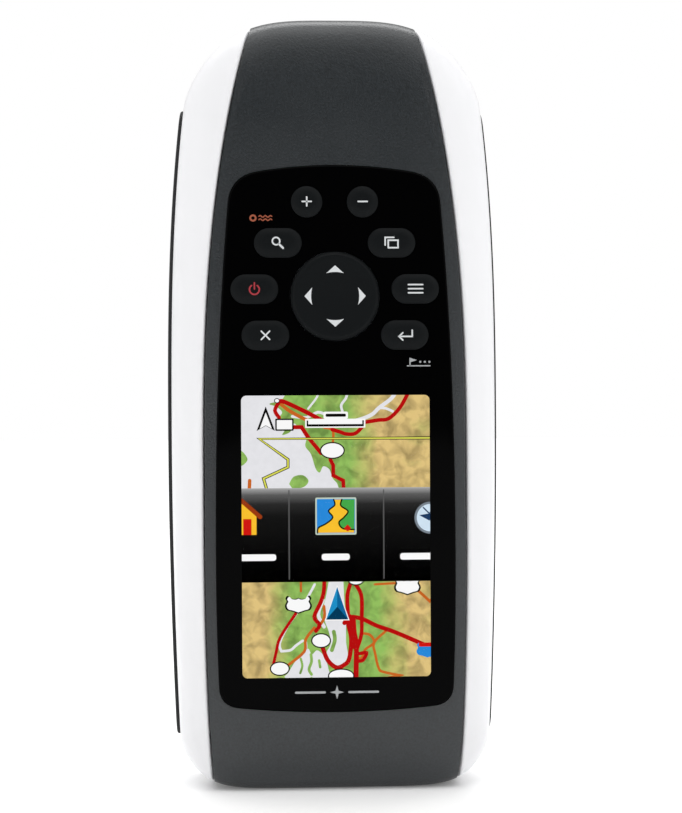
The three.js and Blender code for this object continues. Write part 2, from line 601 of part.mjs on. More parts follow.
/** Coaxial lead from the antenna base to the main board. */
function makeAntennaCable() {
  const route = [[0, -3.6, 121], [0, -3.2, 118.5], [3, -3.6, 116], [8, -4.4, 114], [10, -5.4, 110], [10, -6.6, 108]];
  const path = new THREE.CatmullRomCurve3(route.map((point) => new THREE.Vector3(...point)));
  const section = new THREE.Shape(Array.from({ length: 8 }, (_, i) => {
    const angle = (i * Math.PI) / 4;
    return new THREE.Vector2(0.55 * Math.cos(angle), 0.55 * Math.sin(angle));
  }));
  return new THREE.ExtrudeGeometry(section, { steps: 16, extrudePath: path, bevelEnabled: false });
}

/** Main circuit board with two screw holes. */
function makeMainBoard() {
  const middle = (BOARD.low + BOARD.high) / 2;
  const half = (BOARD.high - BOARD.low) / 2;
  const outline = roundedOutline(0, middle, BOARD.halfWidth, half, 3, 2);
  const board = prismY(outline, BOARD.front, BOARD.back);
  return board.subtract(cylinderY(1.3, -20, 20, -18.5, 86, 10)).subtract(cylinderY(1.3, -20, 20, 18.5, 86, 10));
}

/** Holder with side rails for the memory card. */
function makeCardHolder() {
  const tray = box([-7.4, -4.5, 46], [7.4, -2.95, 60]);
  return tray.subtract(box([-5.9, -4.1, 47.5], [5.9, 0, 61]));
}

// ---- Assembly --------------------------------------------------------------------------------------------------

const unit = new THREE.Group();

/** Adds a sub-part to the unit under its own name with its own material. */
function addPart(name, shape, look) {
  const geometry = shape.isBufferGeometry ? shape : geometryOf(shape);
  const mesh = new THREE.Mesh(geometry, new THREE.MeshStandardMaterial(look));
  mesh.name = name;
  unit.add(mesh);
}

addPart('front_housing', makeFrontHousing(), WHITE_SHELL);
addPart('front_fascia', makeFascia(), DARK_SHELL);
addPart('rear_housing', makeRearHousing(), WHITE_SHELL);
addPart('housing_gasket', makeHousingGasket(), SILICONE);
addPart('grip_left', makeGrip(-1), RUBBER);
addPart('grip_right', makeGrip(1), RUBBER);
SCREW_POSTS.forEach(([x, z], i) => {
  addPart(`housing_screw_${i + 1}`, makeScrew(x, z, -5, 11.2, 1, 2.2, 1.6), STEEL);
});

addPart('lens_panel', makeLensPanel(), GLOSS_BLACK);
addPart('display_window', makeDisplayWindow(), CLEAR);
KEYS.forEach(([name, x, z, size]) => addPart(name, makeKey(x, z, size), KEY_PLASTIC));
addPart('rocker_cap', makeRockerCap(), KEY_PLASTIC);
addPart('rocker_pivot', makeRockerPivot(), STEEL);
addPart('keypad_membrane', makeKeypadMembrane(), SILICONE);
addPart('key_dome_sheet', box([-20.4, -9, 83.6], [20.4, -8.7, 119.6]), STEEL);
addPart('lcd_frame', makeLcdFrame(), STEEL);
addPart('lcd_glass', box([-19.3, -12.4, 21.3], [19.3, -11.4, 78.7]), SCREEN);
addPart('backlight', box([-19.3, -11.1, 21.3], [19.3, -10, 78.7]), LIGHT_GUIDE);
addPart('main_board', makeMainBoard(), CIRCUIT);
[-18.5, 18.5].forEach((x, i) => addPart(`board_screw_${i + 1}`, makeScrew(x, 86, -8.6, -5.6, 1, 2, 1.2), STEEL));
addPart('processor_shield', box([-9, -6.9, 92], [7, -4.8, 106]), STEEL);
addPart('beeper', cylinderY(4.6, -6.9, -3.6, -14, 114, 18), INNER_PLASTIC);

addPart('antenna_base', box([-6.5, -9.5, 121.6], [6.5, -0.5, 122.8]), CIRCUIT);
addPart('antenna_core', cylinderZ(4.2, 123.1, 145.4, 0, -5, 20), CERAMIC);
addPart('antenna_cable', makeAntennaCable(), INNER_PLASTIC);
addPart('io_board', box([-18, 4, 116.5], [18, 5, 134]), CIRCUIT);
addPart('usb_port', makeUsbPort(), STEEL);
addPart('antenna_jack', makeAntennaJack(), BRASS);
addPart('usb_cap', makePortCap(USB_CAP), RUBBER);
addPart('antenna_cap', makePortCap(ANTENNA_CAP), RUBBER);

addPart('mount_spine', makeMountSpine(), DARK_SHELL);
MOUNT_SPINE.screws.forEach((z, i) => {
  addPart(`spine_screw_${i + 1}`, makeScrew(0, z, 9.5, 14.7, 0.75, 1.8, 1), STEEL);
});

addPart('battery_door', makeBatteryDoor(), DARK_SHELL);
addPart('door_gasket', makeDoorGasket(), SILICONE);
addPart('latch_knob', makeLatchKnob(), STEEL);
addPart('latch_cam', makeLatchCam(), STEEL);
addPart('d_ring', makeRing(), STEEL);

addPart('battery_1', makeCell(-CELL.x, 1), CELL_JACKET);
addPart('battery_2', makeCell(CELL.x, -1), CELL_JACKET);
addPart('contact_plate_negative', box([-12.6, 0.4, 29.5], [-2.6, 10.4, 29.9]), STEEL);
addPart('contact_plate_positive', box([2.6, 0.4, 32.7], [12.6, 10.4, 33.1]), STEEL);
addPart('contact_bridge', box([-12.6, 0.4, 86.3], [12.6, 10.4, 86.7]), STEEL);
addPart('contact_spring_1', makeSpring(-CELL.x, 30.2, 33.4, 4, 2.2), STEEL);
addPart('contact_spring_2', makeSpring(CELL.x, 84.5, 86, 2.2, 4), STEEL);
addPart('card_holder', makeCardHolder(), INNER_PLASTIC);
addPart('memory_card', box([-5.5, -3.8, 47.9], [5.5, -3, 60.3]), INNER_PLASTIC);

export default unit;
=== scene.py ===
"""Looks of a handheld gps unit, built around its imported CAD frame.

All sizes in this file are millimetres until a mesh is made. +X is the user's right, the keys face -Y, the
battery door faces +Y and +Z is the antenna end. Shapes are numpy surfaces; every finish is a procedural
material.
"""

import logging
import math
from collections.abc import Callable, Sequence
from dataclasses import dataclass, field
from enum import Enum

import bmesh
import bpy
import numpy as np
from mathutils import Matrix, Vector


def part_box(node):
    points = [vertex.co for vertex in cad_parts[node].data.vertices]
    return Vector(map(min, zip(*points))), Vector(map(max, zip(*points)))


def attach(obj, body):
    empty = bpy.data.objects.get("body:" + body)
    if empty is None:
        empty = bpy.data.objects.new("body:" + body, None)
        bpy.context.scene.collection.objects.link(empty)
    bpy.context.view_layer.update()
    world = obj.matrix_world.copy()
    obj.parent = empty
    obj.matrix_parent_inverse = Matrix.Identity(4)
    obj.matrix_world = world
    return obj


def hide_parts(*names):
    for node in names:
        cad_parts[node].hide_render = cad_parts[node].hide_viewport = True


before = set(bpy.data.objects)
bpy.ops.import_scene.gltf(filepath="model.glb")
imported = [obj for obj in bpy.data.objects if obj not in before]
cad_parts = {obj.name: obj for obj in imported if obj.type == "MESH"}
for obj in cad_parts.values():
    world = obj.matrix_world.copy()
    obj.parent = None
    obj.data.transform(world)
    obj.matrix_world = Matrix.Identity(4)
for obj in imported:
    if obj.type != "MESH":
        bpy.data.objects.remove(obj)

LOG = logging.getLogger("gps_unit")
MM = 0.001
Array = np.ndarray
Rgb = tuple[float, float, float]
Outline = Array | Sequence[tuple[float, float]]


# ---- Meshes --------------------------------------------------------------------------------------


def grid_faces(rows: int, columns: int, close_rows: bool, close_columns: bool) -> list[list[int]]:
    """Quads of a grid of points numbered row by row.

    Args:
        rows: number of rows.
        columns: number of points in a row.
        close_rows: whether the last row joins the first.
        close_columns: whether each row is a closed loop.

    Returns:
        One list of four point numbers for each quad.
    """
    row = np.arange(rows if close_rows else rows - 1)[:, None]
    column = np.arange(columns if close_columns else columns - 1)[None, :]
    next_row = (row + 1) % rows
    next_column = (column + 1) % columns
    corners = [row * columns + column, row * columns + next_column]
    corners += [next_row * columns + next_column, next_row * columns + column]
    return np.stack([c.ravel() for c in np.broadcast_arrays(*corners)], axis=1).tolist()


def make_piece(
    name: str, points: Array, faces: Sequence[Sequence[int]], sharp: float = 35.0
) -> bpy.types.Object:
    """Makes an object at the origin from points in millimetres.

    Args:
        name: the piece's name.
        points: its vertices, one row each.
        faces: vertex numbers of each face.
        sharp: edges that turn by more than this many degrees stay crisp.

    Returns:
        The new object, its doubles merged and its faces pointing out.
    """
    mesh = bpy.data.meshes.new(name)
    mesh.from_pydata((points * MM).tolist(), [], [list(f) for f in faces])
    work = bmesh.new()
    work.from_mesh(mesh)
    bmesh.ops.remove_doubles(work, verts=work.verts, dist=2e-6)
    bmesh.ops.dissolve_degenerate(work, edges=work.edges, dist=1e-6)
    bmesh.ops.recalc_face_normals(work, faces=work.faces)
    work.to_mesh(mesh)
    work.free()
    mesh.shade_smooth()
    mesh.set_sharp_from_angle(angle=math.radians(sharp))
    piece = bpy.data.objects.new(name, mesh)
    bpy.context.scene.collection.objects.link(piece)
    return piece


def loops_piece(name: str, loops: Array, ring: bool = False, sharp: float = 35.0) -> bpy.types.Object:
    """Makes a solid from closed loops of points.

    Args:
        name: the piece's name.
        loops: array of (loop, point, xyz).
        ring: whether the last loop joins the first, as on a torus; otherwise flat ends close it.
        sharp: crisp-edge angle in degrees.

    Returns:
        The new object.
    """
    count, size = loops.shape[:2]
    faces = grid_faces(count, size, ring, True)
    if not ring:
        faces.append(list(range(size)))
        faces.append(list(range((count - 1) * size, count * size)))
    return make_piece(name, loops.reshape(-1, 3), faces, sharp)


def at_depth(outline: Array, depth: float | Array) -> Array:
    """Places an outline of (x, z) points at a depth y, or at one depth for each point."""
    y = np.broadcast_to(np.asarray(depth, float), outline.shape[:1])
    return np.stack([outline[:, 0], y, outline[:, 1]], axis=1)


def cut_away(
    target: bpy.types.Object, cutters: Sequence[bpy.types.Object], sharp: float = 35.0
) -> bpy.types.Object:
    """Cuts solids out of a piece and removes them.

    Args:
        target: the piece that is cut.
        cutters: closed solids to take away.
        sharp: crisp-edge angle in degrees.

    Returns:
        The target, with its new mesh.
    """
    for cutter in cutters:
        modifier = target.modifiers.new("cut", "BOOLEAN")
        modifier.object = cutter
        modifier.operation = "DIFFERENCE"
        modifier.solver = "EXACT"
    bpy.context.view_layer.update()
    shaped = target.evaluated_get(bpy.context.evaluated_depsgraph_get())
    mesh = bpy.data.meshes.new_from_object(shaped)
    target.modifiers.clear()
    old = target.data
    target.data = mesh
    bpy.data.meshes.remove(old)
    mesh.name = target.name
    for cutter in cutters:
        bpy.data.objects.remove(cutter)
    mesh.shade_smooth()
    mesh.set_sharp_from_angle(angle=math.radians(sharp))
    return target


# ---- Outlines ------------------------------------------------------------------------------------


def rounded_rectangle(
    x: float, z: float, half_width: float, half_height: float, corner: float, steps: int = 10
) -> Array:
    """Rectangle with four quarter-circle corners, counterclockwise in (x, z).

    Args:
        x: centre.
        z: centre.
        half_width: half its size along x.
        half_height: half its size along z.
        corner: corner radius.
        steps: segments in each corner.

    Returns:
        Array of (point, 2).
    """
    turn = np.linspace(0, np.pi / 2, steps + 1)
    sides = np.array([[1, 1], [-1, 1], [-1, -1], [1, -1]])
    start = np.arange(4) * np.pi / 2
    angle = start[:, None] + turn[None, :]
    px = x + sides[:, :1] * (half_width - corner) + corner * np.cos(angle)
    pz = z + sides[:, 1:] * (half_height - corner) + corner * np.sin(angle)
    return np.stack([px.ravel(), pz.ravel()], axis=1)


def circle(x: float, z: float, radius: float, steps: int = 64) -> Array:
    """Circle of points (x, z), counterclockwise."""
    turn = np.linspace(0, 2 * np.pi, steps, endpoint=False)
    return np.stack([x + radius * np.cos(turn), z + radius * np.sin(turn)], axis=1)


def resample(path: Array, count: int) -> Array:
    """Points at equal steps of length along an open path, ends included."""
    length = np.concatenate([[0], np.cumsum(np.linalg.norm(np.diff(path, axis=0), axis=1))])
    wanted = np.linspace(0, length[-1], count)
    return np.stack([np.interp(wanted, length, path[:, i]) for i in range(path.shape[1])], axis=1)


def rounding(distance: Array, radius: float) -> Array:
    """How far a quarter-circle edge of that radius falls below a surface, at a distance from the edge."""
    reach = radius - np.clip(distance, 0, radius)
    return radius - np.sqrt(np.maximum(radius**2 - reach**2, 0))


def surface_normals(points: Array, closed_rows: bool = False) -> Array:
    """Unit normals of a grid of points, as the cross product of its two directions, pointing away from the
    middle.

    Args:
        points: array of (row, column, xyz).
        closed_rows: whether the last row is next to the first.

    Returns:
        Array of the same shape.
    """
    padded = np.concatenate([points[-1:], points, points[:1]]) if closed_rows else points
    along = np.gradient(padded, axis=0)
    along = along[1:-1] if closed_rows else along
    across = np.gradient(points, axis=1)
    normal = np.cross(along, across)
    normal /= np.maximum(np.linalg.norm(normal, axis=2, keepdims=True), 1e-9)
    outward = points - np.stack(
        [points[..., 0] * 0, points[..., 1] * 0, np.clip(points[..., 2], 33, 118)], axis=2
    )
    sign = np.sign(np.median(np.sum(normal * outward, axis=2)))
    return normal * sign


# ---- Form of the body ----------------------------------------------------------------------------


@dataclass(frozen=True)
class BodyForm:
    """Outer skin of the unit: an outline seen from the front, drawn in towards a spine as the depth grows."""

    height: float = 152.0
    half_width: float = 32.2
    waist_z: float = 72.0
    upper_taper: float = 2.5
    lower_taper: float = 1.4
    taper_span: float = 61.0
    top_corner_z: float = 135.0
    bottom_corner_z: float = 10.0
    base_cut: float = 0.35
    front_depth: float = 13.9
    back_depth: float = 14.7
    front_power: float = 6.0
    back_power: float = 4.5
    spine_low: float = 33.0
    spine_high: float = 118.0
    slope_start: float = 93.0
    slope: float = 0.075
    corner_power: float = 1.3
    top_power: float = 3.5
    bottom_power: float = 7.0
    front_edge_y: float = 0.05
    back_edge_y: float = 0.25

    def side(self, z: Array) -> Array:
        """Half-width between the corners: the greatest width less a power of the distance from the waist."""
        share = np.abs(z - self.waist_z) / self.taper_span
        taper = np.where(z > self.waist_z, self.upper_taper * share**2.7, self.lower_taper * share**2)
        return self.half_width - taper

    def width_at(self, z: Array) -> Array:
        """Half-width at a height, corners included: a superellipse of mixed powers closes each end."""
        top = np.clip((z - self.top_corner_z) / (self.height - self.top_corner_z), 0, 1)
        low = np.clip((self.bottom_corner_z - z) / (self.bottom_corner_z + self.base_cut), 0, 1)
        width = self.side(np.clip(z, self.bottom_corner_z, self.top_corner_z))
        width = width * (1 - top**self.corner_power) ** (1 / self.top_power)
        return width * (1 - low**self.corner_power) ** (1 / self.bottom_power)

    def top_at(self, x: Array) -> Array:
        """Height of the top edge at a distance from the middle: the corner formula solved for z."""
        share = np.clip(np.abs(x) / self.side(np.array(self.top_corner_z)), 0, 1)
        rise = (1 - share**self.top_power) ** (1 / self.corner_power)
        return self.top_corner_z + (self.height - self.top_corner_z) * rise

    def bottom_at(self, x: Array) -> Array:
        """Height of the bottom edge at a distance from the middle."""
        share = np.clip(np.abs(x) / self.side(np.array(self.bottom_corner_z)), 0, 1)
        drop = (1 - share**self.bottom_power) ** (1 / self.corner_power)
        return self.bottom_corner_z - (self.bottom_corner_z + self.base_cut) * drop

    def half_outline(self, corner_steps: int, side_steps: int) -> Array:
        """Right half of the outline from the middle of the base to the middle of the top.

        Args:
            corner_steps: segments in each corner, taken at equal turns of its superellipse.
            side_steps: segments along the side.

        Returns:
            Array of (point, 2) as (x, z).
        """
        turn = np.linspace(0, np.pi / 2, corner_steps + 1)
        drop = np.maximum(np.cos(turn), 0) ** (2 / self.corner_power)
        low_x = self.side(np.array(self.bottom_corner_z)) * np.sin(turn) ** (2 / self.bottom_power)
        low_z = self.bottom_corner_z - (self.bottom_corner_z + self.base_cut) * drop
        side_z = np.linspace(self.bottom_corner_z, self.top_corner_z, side_steps + 1)[1:-1]
        top_x = self.side(np.array(self.top_corner_z)) * np.sin(turn[::-1]) ** (2 / self.top_power)
        top_z = self.top_corner_z + (self.height - self.top_corner_z) * drop[::-1]
        x = np.concatenate([low_x, self.side(side_z), top_x])
        z = np.concatenate([low_z, side_z, top_z])
        return np.stack([x, z], axis=1)

    def spine(self, z: Array) -> Array:
        """Height of the spine point that an outline point is drawn towards."""
        return np.clip(z, self.spine_low, self.spine_high)

    def place(self, outline: Array, q: Array, back: bool, inset: float = 0.0) -> Array:
        """Points of the skin.

        An outline point is drawn towards the spine by cos(t)^(2/n) while its depth grows as sin(t)^(2/n),
        which is a superellipse of power n. t is a quarter turn times q^3 / (q^3 + (1 - q)^3), which spaces
        the points evenly.

        Args:
            outline: array of (..., 2) as (x, z).
            q: share of the way from the parting line to the middle of the face, broadcast to the outline.
            back: whether the points are on the back.
            inset: distance inwards, for the inner face of a wall.

        Returns:
            Array of (..., 3).
        """
        power = self.back_power if back else self.front_power
        turn = np.pi / 2 * q**3 / (q**3 + (1 - q) ** 3)
        share = np.cos(turn) ** (2 / power)
        rise = np.sin(turn) ** (2 / power)
        centre = self.spine(outline[..., 1])
        reach = np.hypot(outline[..., 0], outline[..., 1] - centre)
        share = share * (reach - inset) / np.maximum(reach, 1e-6)
        x = outline[..., 0] * share
        z = np.maximum(centre + (outline[..., 1] - centre) * share, max(inset, 0.0))
        if back:
            y = self.back_edge_y + (self.back_depth - inset - self.back_edge_y) * rise
            y = self.sloped(y, z, inset)
        else:
            y = self.front_edge_y - (self.front_depth - inset + self.front_edge_y) * rise
        return np.stack(np.broadcast_arrays(x, y, z), axis=-1)

    def sloped(self, y: Array, z: Array, inset: float = 0.0) -> Array:
        """Depth of the back after the plane that slopes forward above the door has cut it, softly blended."""
        plane = self.back_depth - inset - self.slope * (z - self.slope_start)
        soft = 0.25
        gap = y - plane
        return y - 0.5 * (gap + np.sqrt(gap**2 + soft**2))

    def face_y(self, x: Array, z: Array, back: bool) -> Array:
        """Depth of a face at (x, z): the share that puts the point on a ring, found by halving."""
        low = np.full(np.broadcast(x, z).shape, 0.01)
        high = np.ones_like(low)
        centre = self.spine(z)
        for _ in range(34):
            share = (low + high) / 2
            inside = self.width_at(centre + (z - centre) / share) * share > np.abs(x)
            high = np.where(inside, share, high)
            low = np.where(inside, low, share)
        power = self.back_power if back else self.front_power
        rise = np.maximum(1 - high**power, 0) ** (1 / power)
        if back:
            return self.sloped(self.back_edge_y + (self.back_depth - self.back_edge_y) * rise, z)
        return self.front_edge_y - (self.front_depth + self.front_edge_y) * rise

    def fascia_width(self, z: Array) -> Array:
        """Half-width of the dark centre skin at a height."""
        upper = 25.7 - 8.9 * (np.maximum(z - 60, 0) / 88) ** 2.65
        lower = 25.7 - (np.maximum(60 - z, 0) / 49) ** 2.5
        return np.where(z > 60, upper, lower)


# ---- Finishes ------------------------------------------------------------------------------------


def srgb(red: float, green: float, blue: float) -> Rgb:
    """Linear colour of three display values from 0 to 255: each share to the power 2.2."""
    return ((red / 255) ** 2.2, (green / 255) ** 2.2, (blue / 255) ** 2.2)


Socket = bpy.types.NodeSocket
Sockets = dict[str | int, float | tuple[float, ...] | Socket]

DARK_GLASS: Sockets = {"Base Color": (0, 0, 0, 1), "Roughness": 0.4, "Specular IOR Level": 0.0}


def feed(node: bpy.types.Node, sockets: Sockets) -> None:
    """Sets each input named to its value, or links it where an output stands in the value's place."""
    for name, value in sockets.items():
        if isinstance(value, Socket):
            node.id_data.links.new(value, node.inputs[name])
        else:
            node.inputs[name].default_value = value


def new_node(tree: bpy.types.NodeTree, kind: str, sockets: Sockets, **settings: str) -> bpy.types.Node:
    """Adds a shader node.

    Args:
        tree: the material's or world's nodes.
        kind: type of node, without its prefix.
        sockets: inputs by name or number, each with a value or the output it is linked to.
        settings: the node's own options.

    Returns:
        The new node.
    """
    node = tree.nodes.new(f"ShaderNode{kind}")
    for setting, value in settings.items():
        setattr(node, setting, value)
    feed(node, sockets)
    return node


def new_material(name: str) -> tuple[bpy.types.Material, bpy.types.Node]:
    """A new node material and its shader."""
    material = bpy.data.materials.new(name)
    material.use_nodes = True
    return material, material.node_tree.nodes["Principled BSDF"]


def noise(
    tree: bpy.types.NodeTree,
    place: Socket,
    size: float,
    detail: float = 2.0,
    roughness: float = 0.5,
    distortion: float = 0.0,
) -> Socket:
    """A noise whose lumps have a size in millimetres, as an output from 0 to 1."""
    settings: Sockets = {"Vector": place, "Scale": 1 / (size * MM), "Detail": detail}
    settings |= {"Roughness": roughness, "Distortion": distortion}
    return new_node(tree, "TexNoise", settings).outputs["Fac"]


def speckled(
    tree: bpy.types.NodeTree, pattern: Socket, color: Rgb, spread: float
) -> Socket | tuple[float, ...]:
    """A colour that a pattern makes darker and lighter by a share, or the plain colour where the share is
    none.

    Args:
        tree: the material's nodes.
        pattern: an output from 0 to 1.
        color: the colour in the middle.
        spread: greatest share taken off or added.

    Returns:
        The mixed colour's output, or the colour itself.
    """
    if spread == 0:
        return (*color, 1)
    low = (*(c * (1 - spread) for c in color), 1)
    high = (*(min(c * (1 + spread), 1.0) for c in color), 1)
    return new_node(
        tree, "Mix", {"A": low, "B": high, "Factor": pattern}, data_type="RGBA"
    ).outputs["Result"]


class Grain(Enum):
    """How the surface of a finish is broken up."""

    POLISHED = "polished"
    SPARKED = "sparked"
    MOULDED = "moulded"
    BRUSHED = "brushed"


@dataclass(frozen=True)
class Finish:
    """One material: its colour and gloss, and the fine structure that a close look shows."""

    name: str
    color: Rgb
    roughness: float
    metallic: float = 0.0
    grain: Grain = Grain.MOULDED
    grain_size: float = 0.3
    grain_depth: float = 0.004
    mottle: float = 0.06
    coat: float = 0.0
    transmission: float = 0.0
    specular: float = 0.5
    ior: float = 1.5

    def material(self) -> bpy.types.Material:
        """The finish as a node material, made once."""
        title = f"{self.name}_finish"
        if title in bpy.data.materials:
            return bpy.data.materials[title]
        material, shader = new_material(title)
        tree = material.node_tree
        place = new_node(tree, "TexCoord", {}).outputs["Object"]
        squeeze = 0.06 if self.grain is Grain.BRUSHED else 1
        stretched = new_node(tree, "Mapping", {"Vector": place, "Scale": (1, 1, squeeze)}).outputs["Vector"]
        fine = noise(tree, stretched, self.grain_size, detail=3.0, roughness=0.6)
        broad = noise(tree, place, 9, detail=4.0)
        feed(
            shader,
            {
                "Metallic": self.metallic,
                "Coat Weight": self.coat,
                "Coat Roughness": 0.05,
                "Transmission Weight": self.transmission,
                "Specular IOR Level": self.specular,
                "IOR": self.ior,
                "Base Color": speckled(
                    tree, fine if self.grain is Grain.SPARKED else broad, self.color, self.mottle
                ),
                "Roughness": self._gloss(tree, broad),
            },
        )
        if self.grain is not Grain.POLISHED:
            bump = new_node(
                tree, "Bump", {"Strength": 1.0, "Distance": self.grain_depth * MM, "Height": fine}
            )
            feed(shader, {"Normal": bump.outputs["Normal"]})
        return material

    def _gloss(self, tree: bpy.types.NodeTree, broad: Socket) -> Socket:
        """Roughness: the stated value, a little higher and lower with the broad noise."""
        low, high = self.roughness * 0.85, min(self.roughness * 1.15, 1.0)
        return new_node(tree, "MapRange", {"Value": broad, "To Min": low, "To Max": high}).outputs["Result"]


@dataclass(frozen=True)
class Glow:
    """A colour of the lit display: a plain emission, or land with relief."""

    name: str
    color: Rgb
    strength: float = 1.0
    speckle: float = 0.03

    def material(self) -> bpy.types.Material:
        """The glow as a node material: the colour with faint speckle, given out as light."""
        if self.name in bpy.data.materials:
            return bpy.data.materials[self.name]
        material, shader = new_material(self.name)
        tree = material.node_tree
        place = new_node(tree, "TexCoord", {}).outputs["Object"]
        color = speckled(tree, noise(tree, place, 1.2), self.color, self.speckle)
        feed(shader, {**DARK_GLASS, "Emission Strength": self.strength, "Emission Color": color})
        return material


@dataclass(frozen=True)
class LandGlow:
    """The map's land: green lowland that turns to tan hills towards chosen sides, with hill shading."""

    name: str
    tan_from: float
    tan_to: float
    both_sides: bool
    strength: float = 1.0

    def material(self) -> bpy.types.Material:
        """The land as a node material: a ramp over hilliness times a relief noise, given out as light."""
        if self.name in bpy.data.materials:
            return bpy.data.materials[self.name]
        material, shader = new_material(self.name)
        tree = material.node_tree
        place = new_node(tree, "TexCoord", {}).outputs["Object"]
        ramp = new_node(tree, "ValToRGB", {"Fac": self._hilliness(tree, place)})
        low, high = ramp.color_ramp.elements
        low.position, low.color = 0.3, (*srgb(140, 182, 92), 1)
        high.position, high.color = 0.72, (*srgb(214, 186, 122), 1)
        ramp.color_ramp.elements.new(0.5).color = (*srgb(176, 182, 104), 1)
        relief = noise(tree, place, 2.4, detail=2.0, distortion=0.5)
        slopes = {"Value": relief, "From Min": 0.3, "From Max": 0.62, "To Min": 0.5, "To Max": 1.1}
        shade = new_node(tree, "MapRange", slopes).outputs["Result"]
        tones = {"Factor": 0.85, "A": ramp.outputs["Color"], "B": shade}
        lit = new_node(tree, "Mix", tones, data_type="RGBA", blend_type="MULTIPLY").outputs["Result"]
        feed(shader, {**DARK_GLASS, "Emission Strength": self.strength, "Emission Color": lit})
        return material

    def _hilliness(self, tree: bpy.types.NodeTree, place: Socket) -> Socket:
        """How hilly a place is, from 0 to 1: half from its x and half from a patchy noise."""
        across = new_node(tree, "SeparateXYZ", {"Vector": place}).outputs["X"]
        rule = "ABSOLUTE" if self.both_sides else "ADD"
        side = new_node(tree, "Math", {0: across, 1: 0.0}, operation=rule).outputs["Value"]
        reach = {"Value": side, "From Min": self.tan_from * MM, "From Max": self.tan_to * MM, "To Max": 0.5}
        spread = new_node(tree, "MapRange", reach).outputs["Result"]
        patches = noise(tree, place, 5, detail=4.0)
        return new_node(
            tree, "Math", {0: patches, 1: 0.5, 2: spread}, operation="MULTIPLY_ADD"
        ).outputs["Value"]


WHITE_SHELL = Finish(
    "white_shell", (0.82, 0.82, 0.835), 0.34, grain_size=0.22, grain_depth=0.0015, mottle=0.012, coat=0.08
)
# A darker copy of the white shell for the seat, rim, bay, pocket, port block, spine bed and posts: painted
# shade in the recesses behind the door.
SHADED_INNER_SHELL = Finish("shaded_inner_shell", (0.6, 0.6, 0.61), 0.5, mottle=0.02)
DARK_SHELL = Finish(
    "dark_shell", (0.0125, 0.0157, 0.018), 0.31, 0.0, Grain.SPARKED, 0.42, 0.06, 0.95, specular=0.62
)
DOOR_SHELL = Finish(
    "door_shell", (0.02, 0.0235, 0.0265), 0.55, 0.0, Grain.SPARKED, 0.36, 0.03, 0.3, specular=0.25
)
GRIP_RUBBER = Finish(
    "grip_rubber", (0.02, 0.0205, 0.0215), 0.7, 0.0, Grain.SPARKED, 0.2, 0.012, 0.18, specular=0.25
)
GLOSS_BLACK = Finish(
    "gloss_black", (0.0008, 0.0008, 0.0009), 0.06, 0.0, Grain.POLISHED, mottle=0.1, specular=0.025
)
KEY_PLASTIC = Finish(
    "key_plastic", (0.0036, 0.0046, 0.0052), 0.48, 0.0, Grain.SPARKED, 0.14, 0.004, 0.22, specular=0.09
)
KEY_MARK = Finish("key_mark", (0.62, 0.64, 0.65), 0.55, mottle=0.03)
RED_MARK = Finish("red_mark", (0.34, 0.018, 0.028), 0.5, mottle=0.05)
ORANGE_MARK = Finish("orange_mark", (0.3, 0.07, 0.028), 0.5, mottle=0.05)
GREY_MARK = Finish("grey_mark", (0.36, 0.37, 0.38), 0.5, mottle=0.05)
CLEAR = Finish(
    "clear_window", (1.0, 1.0, 1.0), 0.02, 0.0, Grain.POLISHED, mottle=0.0, transmission=1.0, ior=1.04
)
STEEL = Finish("steel", (0.56, 0.56, 0.57), 0.26, 1.0, Grain.BRUSHED, 0.12, 0.002, 0.12)
BRASS = Finish("brass", (0.78, 0.56, 0.22), 0.28, 1.0, Grain.BRUSHED, 0.12, 0.002, 0.1)
CIRCUIT = Finish("circuit_board", (0.012, 0.14, 0.05), 0.45, grain_size=1.4, grain_depth=0.01, mottle=0.25)
INNER_PLASTIC = Finish("inner_plastic", (0.02, 0.021, 0.023), 0.5, mottle=0.1)
SILICONE = Finish("silicone", (0.28, 0.3, 0.32), 0.6, mottle=0.05)
CELL_JACKET = Finish("cell_jacket", (0.05, 0.09, 0.2), 0.3, grain_size=0.6, mottle=0.12, coat=0.3)
CELL_BAND = Finish("cell_band", (0.72, 0.47, 0.12), 0.28, 0.6, mottle=0.08, coat=0.3)
CERAMIC = Finish("ceramic", (0.66, 0.6, 0.48), 0.55, grain_size=0.4, mottle=0.08)
SCREEN_GLASS = Finish("screen_glass", (0.01, 0.012, 0.014), 0.1, 0.0, Grain.POLISHED, mottle=0.05)
LIGHT_GUIDE = Finish("light_guide", (0.85, 0.86, 0.83), 0.4, mottle=0.02)

NODE_FINISHES: dict[Finish, tuple[str, ...]] = {
    STEEL: (
        "rocker_pivot", "key_dome_sheet", "lcd_frame", "processor_shield", "usb_port", "latch_cam",
        "contact_plate_negative", "contact_plate_positive", "contact_bridge", "contact_spring_1",
        "contact_spring_2", "board_screw_1", "board_screw_2", "housing_screw_1", "housing_screw_2",
        "housing_screw_3", "housing_screw_4", "spine_screw_1", "spine_screw_2",
    ),
    BRASS: ("antenna_jack",),
    CIRCUIT: ("main_board", "io_board", "antenna_base"),
    SILICONE: ("housing_gasket", "keypad_membrane", "door_gasket"),
    INNER_PLASTIC: ("beeper", "antenna_cable", "card_holder", "memory_card"),
    CERAMIC: ("antenna_core",),
    LIGHT_GUIDE: ("backlight",),
}


def dress(piece: bpy.types.Object, finish: "Finish | LitFinish") -> bpy.types.Object:
    """Gives a piece one finish."""
    piece.data.materials.clear()
    piece.data.materials.append(finish.material())
    return piece


def settle(
    piece: bpy.types.Object,
    body: str,
    slot: str,
    finish: "Finish | LitFinish",
    *nodes: str,
) -> None:
    """Finishes a piece and joins it to the frame.

    Args:
        piece: the object.
        body: CAD body that it rides on.
        slot: the record's material slot; not used.
        finish: its material.
        nodes: CAD nodes that it stands for.
    """
    dress(piece, finish)
    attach(piece, body)
    if nodes:
        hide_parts(*nodes)
    LOG.info("%s: %d faces on %s", piece.name, len(piece.data.polygons), body)


